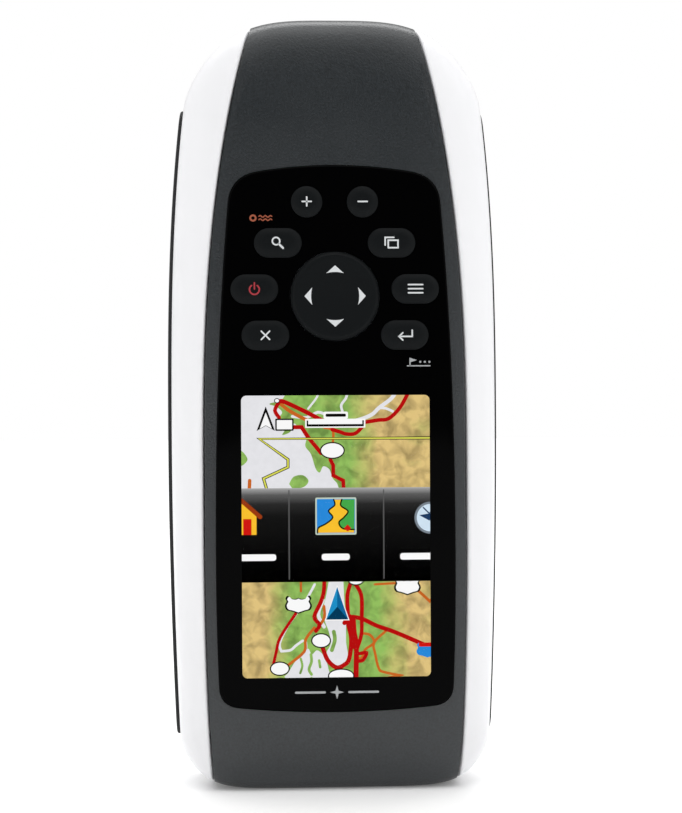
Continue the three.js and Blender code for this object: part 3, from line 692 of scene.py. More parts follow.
# ---- Housing -------------------------------------------------------------------------------------


@dataclass
class Housing:
    """White front rails, dark centre fascia, white rear shell and the two rubber grip strips."""

    form: BodyForm
    wall: float = 1.6
    fascia_wall: float = 1.3
    groove: float = 0.28
    edge: float = 0.3
    rail_edge: float = 0.75
    fascia_edge: float = 0.7
    stations: int = 190
    grip_front: float = -3.2
    grip_back: float = 4.0
    grip_low: float = 9.6
    grip_high: float = 135.0
    grip_proud: float = 0.8

    def _edge_samples(self, count: int) -> Array:
        """Shares from 0 to 1, closer together at both ends so that rounded edges have points of their own."""
        near = np.array([0, 0.003, 0.007, 0.012, 0.018, 0.026, 0.036, 0.048])
        return np.concatenate([near, np.linspace(0.062, 0.938, count), 1 - near[::-1]])

    def _walled(self, skin: Array, normal: Array, wall: float, radius: float, both_ends: bool) -> Array:
        """Closes each row of a skin into a loop: rounded edges outside, then back along the inner face.

        Args:
            skin: grid of (row, column, xyz).
            normal: unit normals of the grid.
            wall: thickness.
            radius: radius of the last edge.
            both_ends: whether the first edge is rounded too, with the common radius.

        Returns:
            Array of (row, longer column, xyz).
        """
        steps = np.linalg.norm(np.diff(skin, axis=1), axis=2)
        run = np.concatenate([np.zeros((skin.shape[0], 1)), np.cumsum(steps, axis=1)], axis=1)
        drop = rounding(run[:, -1:] - run, radius)
        if both_ends:
            drop = np.maximum(drop, rounding(run, self.edge))
        outer = skin - normal * drop[..., None]
        inner = (skin - normal * wall)[:, ::-3]
        return np.concatenate([outer, inner], axis=1)

    def rail(self, side: int) -> bpy.types.Object:
        """White rail on one side, from the parting line round to the groove beside the fascia.

        Each station is a point of the outline; the row runs inwards over the skin until its x equals the
        fascia's half-width plus the groove, which is found by halving.
        """
        outline = self.form.half_outline(60, 160)
        clear = outline[:, 0] - self.form.fascia_width(outline[:, 1]) - self.groove
        inside = np.nonzero(clear > 0.02)[0]
        path = outline[inside[0] : inside[-1] + 1]
        ease = 0.5 - 0.5 * np.cos(np.pi * np.linspace(0, 1, self.stations))
        mixed = 0.6 * np.linspace(0, 1, self.stations) + 0.4 * ease
        dense = resample(path, 1200)
        rows = dense[np.round(mixed * (len(dense) - 1)).astype(int)][:, None, :]
        low = np.zeros((self.stations, 1))
        high = np.ones((self.stations, 1)) * 0.98
        for _ in range(30):
            q = (low + high) / 2
            at = self.form.place(rows, q, back=False)
            outside = at[..., 0] > self.form.fascia_width(at[..., 2]) + self.groove
            low = np.where(outside, q, low)
            high = np.where(outside, high, q)
        q = self._edge_samples(34)[None, :] * low
        skin = self.form.place(rows, q, back=False)
        loops = self._walled(skin, surface_normals(skin), self.wall, self.rail_edge, both_ends=True)
        loops[..., 2] = np.maximum(loops[..., 2], 0)
        loops[..., 0] *= side
        return loops_piece(f"white_rail_{'right' if side > 0 else 'left'}", loops)

    def _wrap(self, u: Array, share: Array, rise: Array, top: bool) -> Array:
        """Points of the skin over the top or the bottom edge, for a share u of the fascia's half-width."""
        centre = self.form.spine_high if top else self.form.spine_low
        z = np.full(np.broadcast(u, share).shape, self.form.height if top else 0.0)
        for _ in range(12):
            x = u * self.form.fascia_width(z)
            edge = self.form.top_at(x / share) if top else self.form.bottom_at(x / share)
            z = centre + (edge - centre) * share
        y = self.form.front_edge_y - (self.form.front_depth + self.form.front_edge_y) * rise
        return np.stack(np.broadcast_arrays(u * self.form.fascia_width(z), y, np.maximum(z, 0)), axis=-1)

    def fascia_skin(self, u: Array, v: Array) -> Array:
        """The fascia's outer surface.

        Args:
            u: share of its half-width, from -1 to 1.
            v: 0 to 1 over the bottom edge, 1 to 2 up the front, 2 to 3 over the top edge.

        Returns:
            Array of (..., 3).
        """
        joint_share = 0.8
        joint_turn = math.acos(joint_share ** (self.form.front_power / 2))
        joint_q = (joint_turn / (np.pi / 2)) ** (1 / 3)
        joint_q = joint_q / (joint_q + (1 - joint_turn / (np.pi / 2)) ** (1 / 3))
        q = joint_q * np.clip(np.where(v < 1, v, 3 - v), 0, 1)
        turn = np.pi / 2 * q**3 / (q**3 + (1 - q) ** 3)
        share = np.cos(turn) ** (2 / self.form.front_power)
        rise = np.sin(turn) ** (2 / self.form.front_power)
        low = self._wrap(u, share, rise, top=False)
        high = self._wrap(u, share, rise, top=True)
        z_low, z_high = self._front_span(u)
        z = z_low + (z_high - z_low) * np.clip(v - 1, 0, 1)
        x = u * self.form.fascia_width(z)
        front = np.stack([x, self.form.face_y(x, z, back=False), z], axis=-1)
        return np.where((v < 1)[..., None], low, np.where((v > 2)[..., None], high, front))

    def _front_span(self, u: Array) -> tuple[Array, Array]:
        """Heights where the front part of the fascia meets its bottom and top wraps."""
        joint = np.array(0.8)
        rise = np.array((1 - 0.8**self.form.front_power) ** (1 / self.form.front_power))
        low = self._wrap(u, joint, rise, top=False)[..., 2]
        high = self._wrap(u, joint, rise, top=True)[..., 2]
        return low, high

    def fascia(self, opening: Sequence[Array]) -> bpy.types.Object:
        """Dark centre skin as a ring of rays from the lens opening out to its edges.

        Args:
            opening: the opening's right, top, left and bottom sides as paths of (x, z), counterclockwise.

        Returns:
            The fascia.
        """
        counts = (170, 64, 170, 64)
        inner = np.concatenate(
            [resample(side, n + 1)[:-1] for side, n in zip(opening, counts, strict=True)]
        )
        inner_u = inner[:, 0] / self.form.fascia_width(inner[:, 1])
        low, high = self._front_span(inner_u)
        inner_v = 1 + (inner[:, 1] - low) / (high - low)
        up = np.interp(np.linspace(0, 1, counts[0] + 1), [0, 0.09, 0.91, 1], [0, 1, 2, 3])
        across = np.linspace(1, -1, counts[1] + 1)
        outer_u = np.concatenate([np.ones(counts[0]), across[:-1], -np.ones(counts[2]), across[::-1][:-1]])
        outer_v = np.concatenate([up[:-1], np.full(counts[1], 3.0), up[::-1][:-1], np.zeros(counts[3])])
        reach = np.concatenate(
            [np.linspace(0, 0.93, 52), 1 - np.array([0.05, 0.03, 0.018, 0.01, 0.005, 0.002, 0])]
        )
        u = inner_u[:, None] + (outer_u - inner_u)[:, None] * reach[None, :]
        v = inner_v[:, None] + (outer_v - inner_v)[:, None] * reach[None, :]
        skin = self.fascia_skin(u, v)
        loops = self._walled(
            skin,
            surface_normals(skin, closed_rows=True),
            self.fascia_wall,
            self.fascia_edge,
            both_ends=False,
        )
        loops[..., 2] = np.maximum(loops[..., 2], 0)
        return loops_piece("centre_fascia", loops, ring=True)

    def rear_skin(self) -> bpy.types.Object:
        """White rear bowl: outer skin from the parting line to the middle of the back, and its inner face."""
        half = self.form.half_outline(30, 90)
        whole = np.concatenate([half, (half * [-1, 1])[-2:0:-1]])[None, :, :]
        q = np.concatenate([[0, 0.002, 0.005, 0.01, 0.018], np.linspace(0.03, 1, 46)])[:, None]
        skin = self.form.place(whole, q, back=True)
        edge_run = skin[..., 1] - self.form.back_edge_y
        drop = rounding(edge_run, self.edge)
        centre = self.form.spine(skin[..., 2])
        outward = np.stack([skin[..., 0], np.zeros_like(centre), skin[..., 2] - centre], axis=-1)
        outward /= np.maximum(np.linalg.norm(outward, axis=2, keepdims=True), 1e-6)
        skin = skin - outward * drop[..., None]
        inner = self.form.place(whole, np.linspace(1, 0, 16)[:, None], back=True, inset=1.8)
        loops = np.concatenate([skin, inner])
        loops[..., 2] = np.maximum(loops[..., 2], 0)
        rows, columns = loops.shape[:2]
        faces = grid_faces(rows, columns, True, True)
        del faces[(len(skin) - 1) * columns : len(skin) * columns]
        return make_piece("rear_shell", loops.reshape(-1, 3), faces)

    def grip(self, side: int) -> bpy.types.Object:
        """Rubber strip: rounded outlines in (y, z) on the side of the body, each at its own height."""
        middle_y = (self.grip_front + self.grip_back) / 2
        middle_z = (self.grip_low + self.grip_high) / 2
        half_y = (self.grip_back - self.grip_front) / 2
        half_z = (self.grip_high - self.grip_low) / 2
        turn = np.linspace(0, np.pi / 2, 7)
        radius = 0.45
        insets = [0.0, *(radius * (1 - np.cos(turn))), *np.linspace(0.7, half_y - 0.02, 8)]
        lifts = [0.02, *(self.grip_proud - radius * (1 - np.sin(turn))), *np.full(8, self.grip_proud)]
        rings = []
        for inset, lift in zip(insets, lifts, strict=True):
            corner = max(half_y - inset, 0.01)
            long_sides = self._long_outline(middle_y, middle_z, corner, half_z - inset)
            x = self.form.side(np.clip(long_sides[:, 1], 10, 135)) + lift
            rings.append(np.stack([side * x, long_sides[:, 0], long_sides[:, 1]], axis=1))
        return loops_piece(f"grip_strip_{'right' if side > 0 else 'left'}", np.array(rings))

    def _long_outline(self, y: float, z: float, radius: float, half_length: float) -> Array:
        """Long outline with round ends and many points along its straight sides, as (y, z)."""
        turn = np.linspace(0, np.pi, 17)
        run = np.linspace(-1, 1, 80)[1:-1] * (half_length - radius)
        top = np.stack(
            [y + radius * np.cos(turn), z + half_length - radius + radius * np.sin(turn)], axis=1
        )
        left = np.stack([np.full(78, y - radius), z - run], axis=1)
        bottom = np.stack(
            [y - radius * np.cos(turn), z - half_length + radius - radius * np.sin(turn)], axis=1
        )
        right = np.stack([np.full(78, y + radius), z + run], axis=1)
        return np.concatenate([top, left, bottom, right])


# ---- Rear ----------------------------------------------------------------------------------------


def prism(outline: Array, low_y: float, high_y: float, name: str = "prism") -> bpy.types.Object:
    """A solid with one outline between two depths."""
    return loops_piece(name, np.array([at_depth(outline, low_y), at_depth(outline, high_y)]))


def revolved(
    name: str,
    profile: Sequence[tuple[float, float]],
    axis: str,
    centre: tuple[float, float],
    steps: int = 64,
) -> bpy.types.Object:
    """Turns a profile round an axis.

    Args:
        name: the piece's name.
        profile: points of (radius, place along the axis); the first and last have the radius 0.
        axis: "Y" or "Z".
        centre: the axis's (x, z) for "Y", or (x, y) for "Z".
        steps: points round the axis.

    Returns:
        The new object.
    """
    line = np.asarray(profile, float)
    turn = np.linspace(0, 2 * np.pi, steps, endpoint=False)
    across = centre[0] + line[:, :1] * np.cos(turn)
    other = centre[1] + line[:, :1] * np.sin(turn)
    along = np.broadcast_to(line[:, 1:], across.shape)
    order = (across, along, other) if axis == "Y" else (across, other, along)
    return loops_piece(name, np.stack(order, axis=2))


def flat_tube(name: str, path: Array, depth: float, radius: float, steps: int = 20) -> bpy.types.Object:
    """A round wire along a closed path of (x, z) points at one depth.

    Each cross-section stands in the plane of the path's outward direction and the Y axis.
    """
    along = np.roll(path, -1, axis=0) - np.roll(path, 1, axis=0)
    along /= np.linalg.norm(along, axis=1, keepdims=True)
    outward = np.stack([along[:, 1], -along[:, 0]], axis=1)
    turn = np.linspace(0, 2 * np.pi, steps, endpoint=False)
    flat = path[:, None, :] + outward[:, None, :] * np.cos(turn)[None, :, None] * radius
    y = np.broadcast_to(depth + radius * np.sin(turn), flat.shape[:2])
    return loops_piece(name, np.stack([flat[..., 0], y, flat[..., 1]], axis=2), ring=True, sharp=60)


@dataclass
class RearCase:
    """Everything fixed to the rear shell, and its cuts: door seat, battery bay, blocks and posts."""

    form: BodyForm
    seat_y: float = 12.1
    seat_thickness: float = 1.7
    bay_half_width: float = 15.3
    bay_low: float = 29.2
    bay_high: float = 87.2
    bay_floor: float = -2.6
    bay_wall: float = 1.5
    door_half_width: float = 19.5
    door_low: float = 6.2
    door_high: float = 91.0
    door_corner: float = 7.0
    latch_z: float = 16.6
    pocket_radius: float = 9.95
    port_z: float = 125.0
    cap_seat_y: float = 10.6
    clearance: float = 0.04
    screws: tuple[tuple[float, float], ...] = ((-24.4, 15.0), (24.4, 15.0), (-25.2, 92.0), (25.2, 92.0))

    def door_outline(self, grow: float, steps: int = 16) -> Array:
        """Outline of the door, grown by a distance."""
        middle = (self.door_low + self.door_high) / 2
        half = (self.door_high - self.door_low) / 2
        return rounded_rectangle(
            0, middle, self.door_half_width + grow, half + grow, self.door_corner + grow, steps
        )

    def bay_outline(self, grow_x: float, grow_z: float, corner: float) -> Array:
        """Outline of the battery bay, grown by two distances."""
        middle = (self.bay_low + self.bay_high) / 2
        half = (self.bay_high - self.bay_low) / 2
        return rounded_rectangle(0, middle, self.bay_half_width + grow_x, half + grow_z, corner, 6)

    def finish_shell(self, shell: bpy.types.Object) -> bpy.types.Object:
        """Cuts the door space, port pockets, spine pocket and screw holes out of the shell."""
        cutters = [prism(self.door_outline(0.35), self.seat_y - self.clearance, 20)]
        cutters.append(prism(circle(0, self.latch_z, self.pocket_radius, 72), 5, 20))
        for x, half_width, plug in ((10.5, 7.0, 4.3), (-10.5, 5.0, 2.1)):
            pocket = rounded_rectangle(x, self.port_z, half_width + 0.35, 4.95, 1.6, 8)
            cutters.append(prism(pocket, self.cap_seat_y - self.clearance, 20))
            cutters.append(prism(rounded_rectangle(x, self.port_z, plug + 0.7, 2.9, 1.0, 6), 5, 20))
        cutters.append(prism(rounded_rectangle(0, 105, 8.35, 10.35, 1.85, 8), 12.3, 20))
        cutters += [prism(circle(x, z, 2.6, 32), 2, 20) for x, z in self.screws]
        return cut_away(shell, cutters)

    def seat(self) -> bpy.types.Object:
        """Plate under the door, with the bay's opening, the seal's groove and the latch hole."""
        low = self.seat_y - self.seat_thickness
        plate = prism(self.door_outline(0.6), low, self.seat_y, "door_seat")
        outer = at_depth(self.bay_outline(2.7, 2.1, 2.0), 0)
        inner = at_depth(self.bay_outline(1.1, 0.7, 1.0), 0)
        levels = [np.array([0, self.seat_y - 1.2, 0]), np.array([0, 20, 0])]
        groove = np.array([outer + levels[0], outer + levels[1], inner + levels[1], inner + levels[0]])
        cutters = [
            prism(self.bay_outline(0, 0, 1.0), -5, 20),
            loops_piece("groove", groove, ring=True),
            prism(circle(0, self.latch_z, self.pocket_radius, 72), 5, 20),
        ]
        return cut_away(plate, cutters)

    def rim(self) -> bpy.types.Object:
        """Wall round the door space, from behind the seat up to just under the skin."""
        inner = self.door_outline(0.36)
        outer = self.door_outline(2.2)
        low = self.seat_y - self.seat_thickness
        sections = []
        for outline, level in ((inner, 0), (inner, 1), (outer, 1), (outer, 0)):
            y = np.minimum(self.form.face_y(outline[:, 0], outline[:, 1], back=True) - 0.4, 14.0)
            sections.append(at_depth(outline, np.maximum(y, low + 0.3) if level else low))
        return loops_piece("door_rim", np.array(sections), ring=True)

    def bay(self) -> bpy.types.Object:
        """Open box that holds the two cells, with a recess for the card holder in its floor."""
        tray = prism(
            self.bay_outline(self.bay_wall, self.bay_wall, 2.0), self.bay_floor - self.bay_wall, 10.9
        )
        rib = rounded_rectangle(0, 53, 7.9, 7.5, 0.3, 2)
        return cut_away(tray, [prism(self.bay_outline(0, 0, 1.0), self.bay_floor, 20), prism(rib, -3.9, 0)])

    def latch_pocket(self) -> bpy.types.Object:
        """Round cup behind the seat that the latch's cam turns in."""
        profile = [
            (0, 3.6), (11.4, 3.6), (11.4, 11.9), (self.pocket_radius, 11.9), (self.pocket_radius, 5), (0, 5)
        ]
        return revolved("latch_pocket", profile, "Y", (0, self.latch_z), 72)

    def port_block(self) -> bpy.types.Object:
        """Block behind the port pockets, with a well for each socket."""
        block = prism(rounded_rectangle(1, self.port_z, 18.5, 7.5, 1.0, 4), 7.4, 10.6, "port_block")
        wells = [prism(rounded_rectangle(10.5, self.port_z, 5.0, 2.9, 1.0, 6), 5, 20)]
        wells.append(prism(rounded_rectangle(-10.5, self.port_z, 2.8, 2.9, 1.0, 6), 5, 20))
        return cut_away(block, wells)

    def spine_bed(self) -> bpy.types.Object:
        """Floor under the mount spine."""
        return prism(rounded_rectangle(0, 105, 9.6, 11.6, 1.0, 4), 10.5, 12.28, "spine_bed")

    def posts(self) -> list[bpy.types.Object]:
        """Four hollow posts that the housing screws go down."""
        pieces = []
        for number, (x, z) in enumerate(self.screws, 1):
            top = float(self.form.face_y(np.array(x), np.array(z), back=True)) - 0.9
            profile = [(1.4, 0.5), (3.1, 0.5), (3.1, top), (2.6, top), (2.6, 8.2), (1.4, 8.2)]
            turn = np.linspace(0, 2 * np.pi, 32, endpoint=False)
            line = np.array(profile)
            loops = np.stack(
                [
                    x + line[:, :1] * np.cos(turn),
                    np.broadcast_to(line[:, 1:], (6, 32)),
                    z + line[:, :1] * np.sin(turn),
                ],
                axis=2,
            )
            pieces.append(loops_piece(f"screw_post_{number}", loops, ring=True))
        return pieces


@dataclass
class BatteryDoor:
    """Flush rear door with a round cup for the latch, the latch's knob and its D-ring."""

    form: BodyForm
    case: RearCase
    under_y: float = 12.4
    cup_inner: float = 8.7
    cup_outer: float = 9.6
    cup_floor: float = 10.8
    cup_bottom: float = 9.6
    shaft_hole: float = 2.35
    edge: float = 0.5
    ring_radius: float = 7.0
    ring_wire: float = 1.02
    ring_y: float = 12.8

    def door(self) -> bpy.types.Object:
        """The door as a ring of rays: face out to the edge, edge, underside, cup wall and cup floor."""
        outline = resample(
            np.concatenate([self.case.door_outline(0), self.case.door_outline(0)[:1]]), 361
        )[:-1]
        angle = np.arctan2(outline[:, 1] - self.case.latch_z, outline[:, 0])
        ray = np.stack([np.cos(angle), np.sin(angle)], axis=1)
        centre = np.array([0, self.case.latch_z])

        def around(radius: float, y: float | Array) -> Array:
            """Points at one distance from the latch's axis, along the rays."""
            return at_depth(centre + ray * radius, y)

        share = np.concatenate([[0, 0.004, 0.01, 0.018, 0.03], np.linspace(0.05, 0.95, 50)])
        share = np.concatenate([share, 1 - np.array([0.03, 0.018, 0.01, 0.005, 0.002, 0])])
        start = centre + ray * self.cup_inner
        columns = []
        length = np.linalg.norm(outline - start, axis=1)
        for step in share:
            flat = start + (outline - start) * step
            y = self.form.face_y(flat[:, 0], flat[:, 1], back=True)
            drop = np.maximum(rounding(length * (1 - step), self.edge), rounding(length * step, self.edge))
            columns.append(at_depth(flat, y - drop - 0.02))
        columns.append(at_depth(outline, self.under_y))
        columns += [around(self.cup_outer, self.under_y), around(self.cup_outer, self.cup_bottom)]
        columns += [around(self.shaft_hole, self.cup_bottom), around(self.shaft_hole, self.cup_floor)]
        columns += [
            around(self.cup_inner - 0.5, self.cup_floor),
            around(self.cup_inner - 0.15, self.cup_floor + 0.12),
        ]
        columns.append(around(self.cup_inner, self.cup_floor + 0.5))
        return loops_piece("door_panel", np.stack(columns, axis=1), ring=True)

    def knob(self) -> bpy.types.Object:
        """Turned shaft and head with a cross hole for the ring's bar."""
        profile = [(0, 6.8), (1.8, 6.8), (2.0, 7.0), (2.0, 11.1), (3.3, 11.1), (3.5, 11.3), (3.5, 14.0)]
        profile += [(3.42, 14.25), (3.2, 14.42), (2.9, 14.5), (0, 14.5)]
        head = revolved("latch_head", profile, "Y", (0, self.case.latch_z), 48)
        turn = np.linspace(0, 2 * np.pi, 32, endpoint=False)
        hole = np.stack(
            [self.ring_y + 1.35 * np.cos(turn), self.case.latch_z + 1.35 * np.sin(turn)], axis=1
        )
        loops = np.array([np.stack([np.full(32, x), hole[:, 0], hole[:, 1]], axis=1) for x in (-8.0, 8.0)])
        return cut_away(head, [loops_piece("cross_hole", loops)])

    def ring(self) -> bpy.types.Object:
        """D-ring: a half circle of wire closed by a straight bar, with tight bends between them."""
        bend = 1.3
        lean = math.asin(bend / (self.ring_radius - bend))
        arc = np.linspace(np.pi + lean, 2 * np.pi - lean, 49)
        path = self.ring_radius * np.stack([np.cos(arc), np.sin(arc)], axis=1)
        place = (self.ring_radius - bend) * np.array([math.cos(lean), -math.sin(lean)])
        turn = np.linspace(-lean, np.pi / 2, 11)[1:]
        right = place + bend * np.stack([np.cos(turn), np.sin(turn)], axis=1)
        left = (right * [-1, 1])[::-1]
        bar_x = np.linspace(place[0], -place[0], 22)[1:-1]
        bar = np.stack([bar_x, np.zeros(20)], axis=1)
        whole = np.concatenate([path, right, bar, left]) + [0, self.case.latch_z]
        return flat_tube("lift_ring", whole, self.ring_y, self.ring_wire)


@dataclass
class RearFittings:
    """Port caps, mount spine and the two cells."""

    form: BodyForm
    port_z: float = 125.0
    cap_low_y: float = 10.9
    spine_low_y: float = 12.6
    spine_high_y: float = 14.98
    cell_radius: float = 7.2
    cell_y: float = 4.9
    cell_low: float = 33.7
    cell_length: float = 50.5

    def cap(self, name: str, x: float, half_width: float, plug: float) -> bpy.types.Object:
        """Soft cap: plug, plate, rounded top that follows the back, and two ridges to lift it by."""
        rings = [at_depth(rounded_rectangle(x, self.port_z, plug, 2.1, 0.6, 8), 9.9)]
        rings.append(at_depth(rounded_rectangle(x, self.port_z, plug, 2.1, 0.6, 8), self.cap_low_y))
        rings.append(at_depth(rounded_rectangle(x, self.port_z, half_width, 4.6, 1.3, 8), self.cap_low_y))
        radius = 0.4
        for angle in np.linspace(0, np.pi / 2, 7):
            inset = radius * (1 - math.cos(angle))
            outline = rounded_rectangle(x, self.port_z, half_width - inset, 4.6 - inset, 1.3 - inset, 8)
            y = self.form.face_y(outline[:, 0], outline[:, 1], back=True) - 0.03
            rings.append(at_depth(outline, y - radius * (1 - math.sin(angle))))
        for inset in (1.0, 1.35, 1.7):
            outline = rounded_rectangle(x, self.port_z, half_width - inset, 4.6 - inset, 0.4, 8)
            y = self.form.face_y(outline[:, 0], outline[:, 1], back=True) - 0.03
            rings.append(at_depth(outline, y - (0.28 if inset > 1.2 else 0.0)))
        return loops_piece(name, np.array(rings))

    def spine(self) -> bpy.types.Object:
        """Rail for a belt clip: a plate with softened edges and two counterbored holes."""
        rings = []
        for inset, y in ((0, self.spine_low_y), (0, 13.1), (0.55, 13.5), (0.55, 14.0), (0, 14.3)):
            rings.append(at_depth(rounded_rectangle(0, 105, 8 - inset, 10 - inset, 1.5 - inset, 8), y))
        for angle in np.linspace(0, np.pi / 2, 6):
            inset = 0.35 * (1 - math.cos(angle))
            outline = rounded_rectangle(0, 105, 8 - inset, 10 - inset, 1.5 - inset, 8)
            rings.append(at_depth(outline, self.spine_high_y - 0.35 * (1 - math.sin(angle))))
        plate = loops_piece("clip_rail", np.array(rings))
        cutters = []
        for z in (99.5, 110.5):
            cutters += [prism(circle(0, z, 1.3, 32), 8, 20), prism(circle(0, z, 2.25, 40), 13.4, 20)]
        return cut_away(plate, cutters)

    def cell(self, name: str, x: float, up: int) -> list[tuple[bpy.types.Object, Finish]]:
        """AA cell in three pieces: steel can with its nub, dark jacket and bright band."""
        radius, length = self.cell_radius, self.cell_length
        core = [(0, 0), (5.0, 0), (6.6, 0.35), (6.95, 0.8), (6.95, length - 2.6), (6.6, length - 1.6)]
        core += [(3.0, length - 1.3), (2.6, length - 1.1), (2.6, length - 0.25), (2.3, length), (0, length)]
        split = length * 0.72
        jacket = [(6.0, 0.35), (6.9, 0.5), (radius, 0.95), (radius, split), (6.9, split)]
        band = [
            (6.9, split), (radius, split), (radius, length - 2.4), (6.8, length - 1.7), (5.6, length - 1.5)
        ]
        band.append((5.6, length - 1.9))
        pieces = []
        for part, profile, finish in (
            ("can", core, STEEL), ("jacket", jacket, CELL_JACKET), ("band", band, CELL_BAND)
        ):
            line = np.array(profile)
            line[:, 1] = self.cell_low + (line[:, 1] if up > 0 else length - line[:, 1])
            turn = np.linspace(0, 2 * np.pi, 64, endpoint=False)
            loops = np.stack(
                [
                    x + line[:, :1] * np.cos(turn),
                    self.cell_y + line[:, :1] * np.sin(turn),
                    np.broadcast_to(line[:, 1:], (len(line), 64)),
                ],
                axis=2,
            )
            pieces.append((loops_piece(f"{name}_{part}", loops, ring=part != "can"), finish))
        return pieces


def build_rear(form: BodyForm, housing: Housing) -> None:
    """Builds and dresses the rear shell, the door with its latch, the caps, the spine and the cells."""
    case = RearCase(form)
    door = BatteryDoor(form, case)
    fittings = RearFittings(form)
    settle(case.finish_shell(housing.rear_skin()), "housing", "white_shell", WHITE_SHELL, "rear_housing")
    for piece in (
        case.seat(),
        case.rim(),
        case.bay(),
        case.latch_pocket(),
        case.port_block(),
        case.spine_bed(),
        *case.posts(),
    ):
        # The inner pieces take the darker copy of the white shell, which is painted shade.
        settle(piece, "housing", "white_shell", SHADED_INNER_SHELL)
    settle(door.door(), "battery_door", "dark_shell", DOOR_SHELL, "battery_door")
    settle(door.knob(), "latch", "steel", STEEL, "latch_knob")
    settle(door.ring(), "d_ring", "steel", STEEL, "d_ring")
    settle(fittings.cap("usb_cover", 10.5, 7.0, 4.3), "usb_cap", "grip_rubber", GRIP_RUBBER, "usb_cap")
    settle(
        fittings.cap("antenna_cover", -10.5, 5.0, 2.1),
        "antenna_cap",
        "grip_rubber",
        GRIP_RUBBER,
        "antenna_cap",
    )
    settle(fittings.spine(), "housing", "dark_shell", DARK_SHELL, "mount_spine")
    for number, x, up in ((1, -7.6, 1), (2, 7.6, -1)):
        for piece, finish in fittings.cell(f"cell_{number}", x, up):
            settle(
                piece, "housing", "cell_jacket", finish, *([f"battery_{number}"] if finish is STEEL else [])
            )


# ---- Lens panel ----------------------------------------------------------------------------------


@dataclass
class LensPanel:
    """Black gloss panel with arched ends, its key holes and the clear window over the display."""

    face_y: float = -14.2
    thickness: float = 1.4
    half_width: float = 23.4
    widest_z: float = 45.0
    low_z: float = 15.7
    high_z: float = 122.4
    window_half_width: float = 18.4
    window_half_height: float = 27.5
    window_z: float = 50.0
    key_gap: float = 0.16

    def width_at(self, z: Array) -> Array:
        """Half-width at a height: the greatest width less a power of the distance from the widest height."""
        upper = 3.3 * (np.maximum(z - self.widest_z, 0) / 77) ** 2.3
        lower = 0.6 * (np.maximum(self.widest_z - z, 0) / 27) ** 2
        return self.half_width - upper - lower

    def sides(self, grow: float) -> list[Array]:
        """Right, top, left and bottom sides of the outline, each from mid-corner to mid-corner.

        The top and bottom edges are arcs written as parabolas, the sides follow width_at, and each corner
        is a quadratic curve between them.

        Args:
            grow: distance outwards.

        Returns:
            Four paths of (x, z), counterclockwise.
        """
        top_x = self.width_at(np.array(self.high_z - 2.4)) + grow
        low_x = self.width_at(np.array(self.low_z + 1.2)) + grow

        crown, half_span = 2.1, 19.4

        def top(x: Array) -> Array:
            """Height of the top edge at a place across."""
            return self.high_z + grow - crown * (x / half_span) ** 2

        def low(x: Array) -> Array:
            """Height of the bottom edge at a place across."""
            return self.low_z - grow + (x / half_span) ** 2

        def bend(a: Array, b: Array, c: Array) -> Array:
            """A curve from a to c that leaves and arrives in the direction of b."""
            t = np.linspace(0, 1, 25)[:, None]
            return (1 - t) ** 2 * a + 2 * t * (1 - t) * b + t**2 * c

        low_z = low(low_x) + 3.6
        top_z = top(top_x) - 5
        low_bend = bend(
            np.array([low_x - 3.6, low(low_x - 3.6)]),
            np.array([low_x, low(low_x)]),
            np.array([self.width_at(low_z) + grow, low_z]),
        )
        top_bend = bend(
            np.array([self.width_at(top_z) + grow, top_z]),
            np.array([top_x, top(top_x)]),
            np.array([top_x - 5, top(top_x - 5)]),
        )
        z = np.linspace(low_z, top_z, 80)[1:-1]
        side = np.stack([self.width_at(z) + grow, z], axis=1)
        x = np.linspace(top_x - 5, 5 - top_x, 60)[1:-1]
        over = np.stack([x, top(x)], axis=1)
        x = np.linspace(3.6 - low_x, low_x - 3.6, 60)[1:-1]
        under = np.stack([x, low(x)], axis=1)
        mirror = np.array([-1.0, 1.0])
        right = np.concatenate([low_bend[12:], side, top_bend[:13]])
        upper = np.concatenate([top_bend[12:], over, (top_bend * mirror)[::-1][:13]])
        left = (right * mirror)[::-1]
        lower = np.concatenate([(low_bend * mirror)[::-1][12:], under, low_bend[:13]])
        return [right, upper, left, lower]

    def outline(self, grow: float) -> Array:
        """Whole outline as one closed loop of evenly spaced points."""
        counts = (120, 52, 120, 52)
        parts = zip(self.sides(grow), counts, strict=True)
        return np.concatenate([resample(side, n + 1)[:-1] for side, n in parts])

    def panel(self, holes: Sequence[Array]) -> bpy.types.Object:
        """The panel: stacked outlines with a rounded front edge, less the window and the key holes."""
        turn = np.linspace(0, np.pi / 2, 8)
        radius = 0.4
        back = self.face_y + self.thickness
        rings = [at_depth(self.outline(0), back)]
        for angle in turn:
            rings.append(
                at_depth(
                    self.outline(-radius * (1 - math.cos(angle))),
                    self.face_y + radius * (1 - math.sin(angle)),
                )
            )
        piece = loops_piece("lens_panel_gloss", np.array(rings), sharp=50)
        cutters = [self._cutter(hole) for hole in [self.window_outline(0.0), *holes]]
        return cut_away(piece, cutters, sharp=50)

    def _cutter(self, outline: Array) -> bpy.types.Object:
        """A prism through the panel with a given outline."""
        rings = np.array([at_depth(outline, self.face_y - 2), at_depth(outline, self.face_y + 4)])
        return loops_piece("cutter", rings)

    def window_outline(self, grow: float) -> Array:
        """Outline of the window opening."""
        return rounded_rectangle(
            0, self.window_z, self.window_half_width + grow, self.window_half_height + grow, 1.0 + grow, 8
        )

    def window(self) -> bpy.types.Object:
        """Clear pane that fills the opening flush with the panel."""
        outline = self.window_outline(-0.02)
        rings = [at_depth(outline, self.face_y + 0.01), at_depth(outline, self.face_y + self.thickness)]
        return loops_piece("window_pane", np.array(rings))


# ---- Marks ---------------------------------------------------------------------------------------


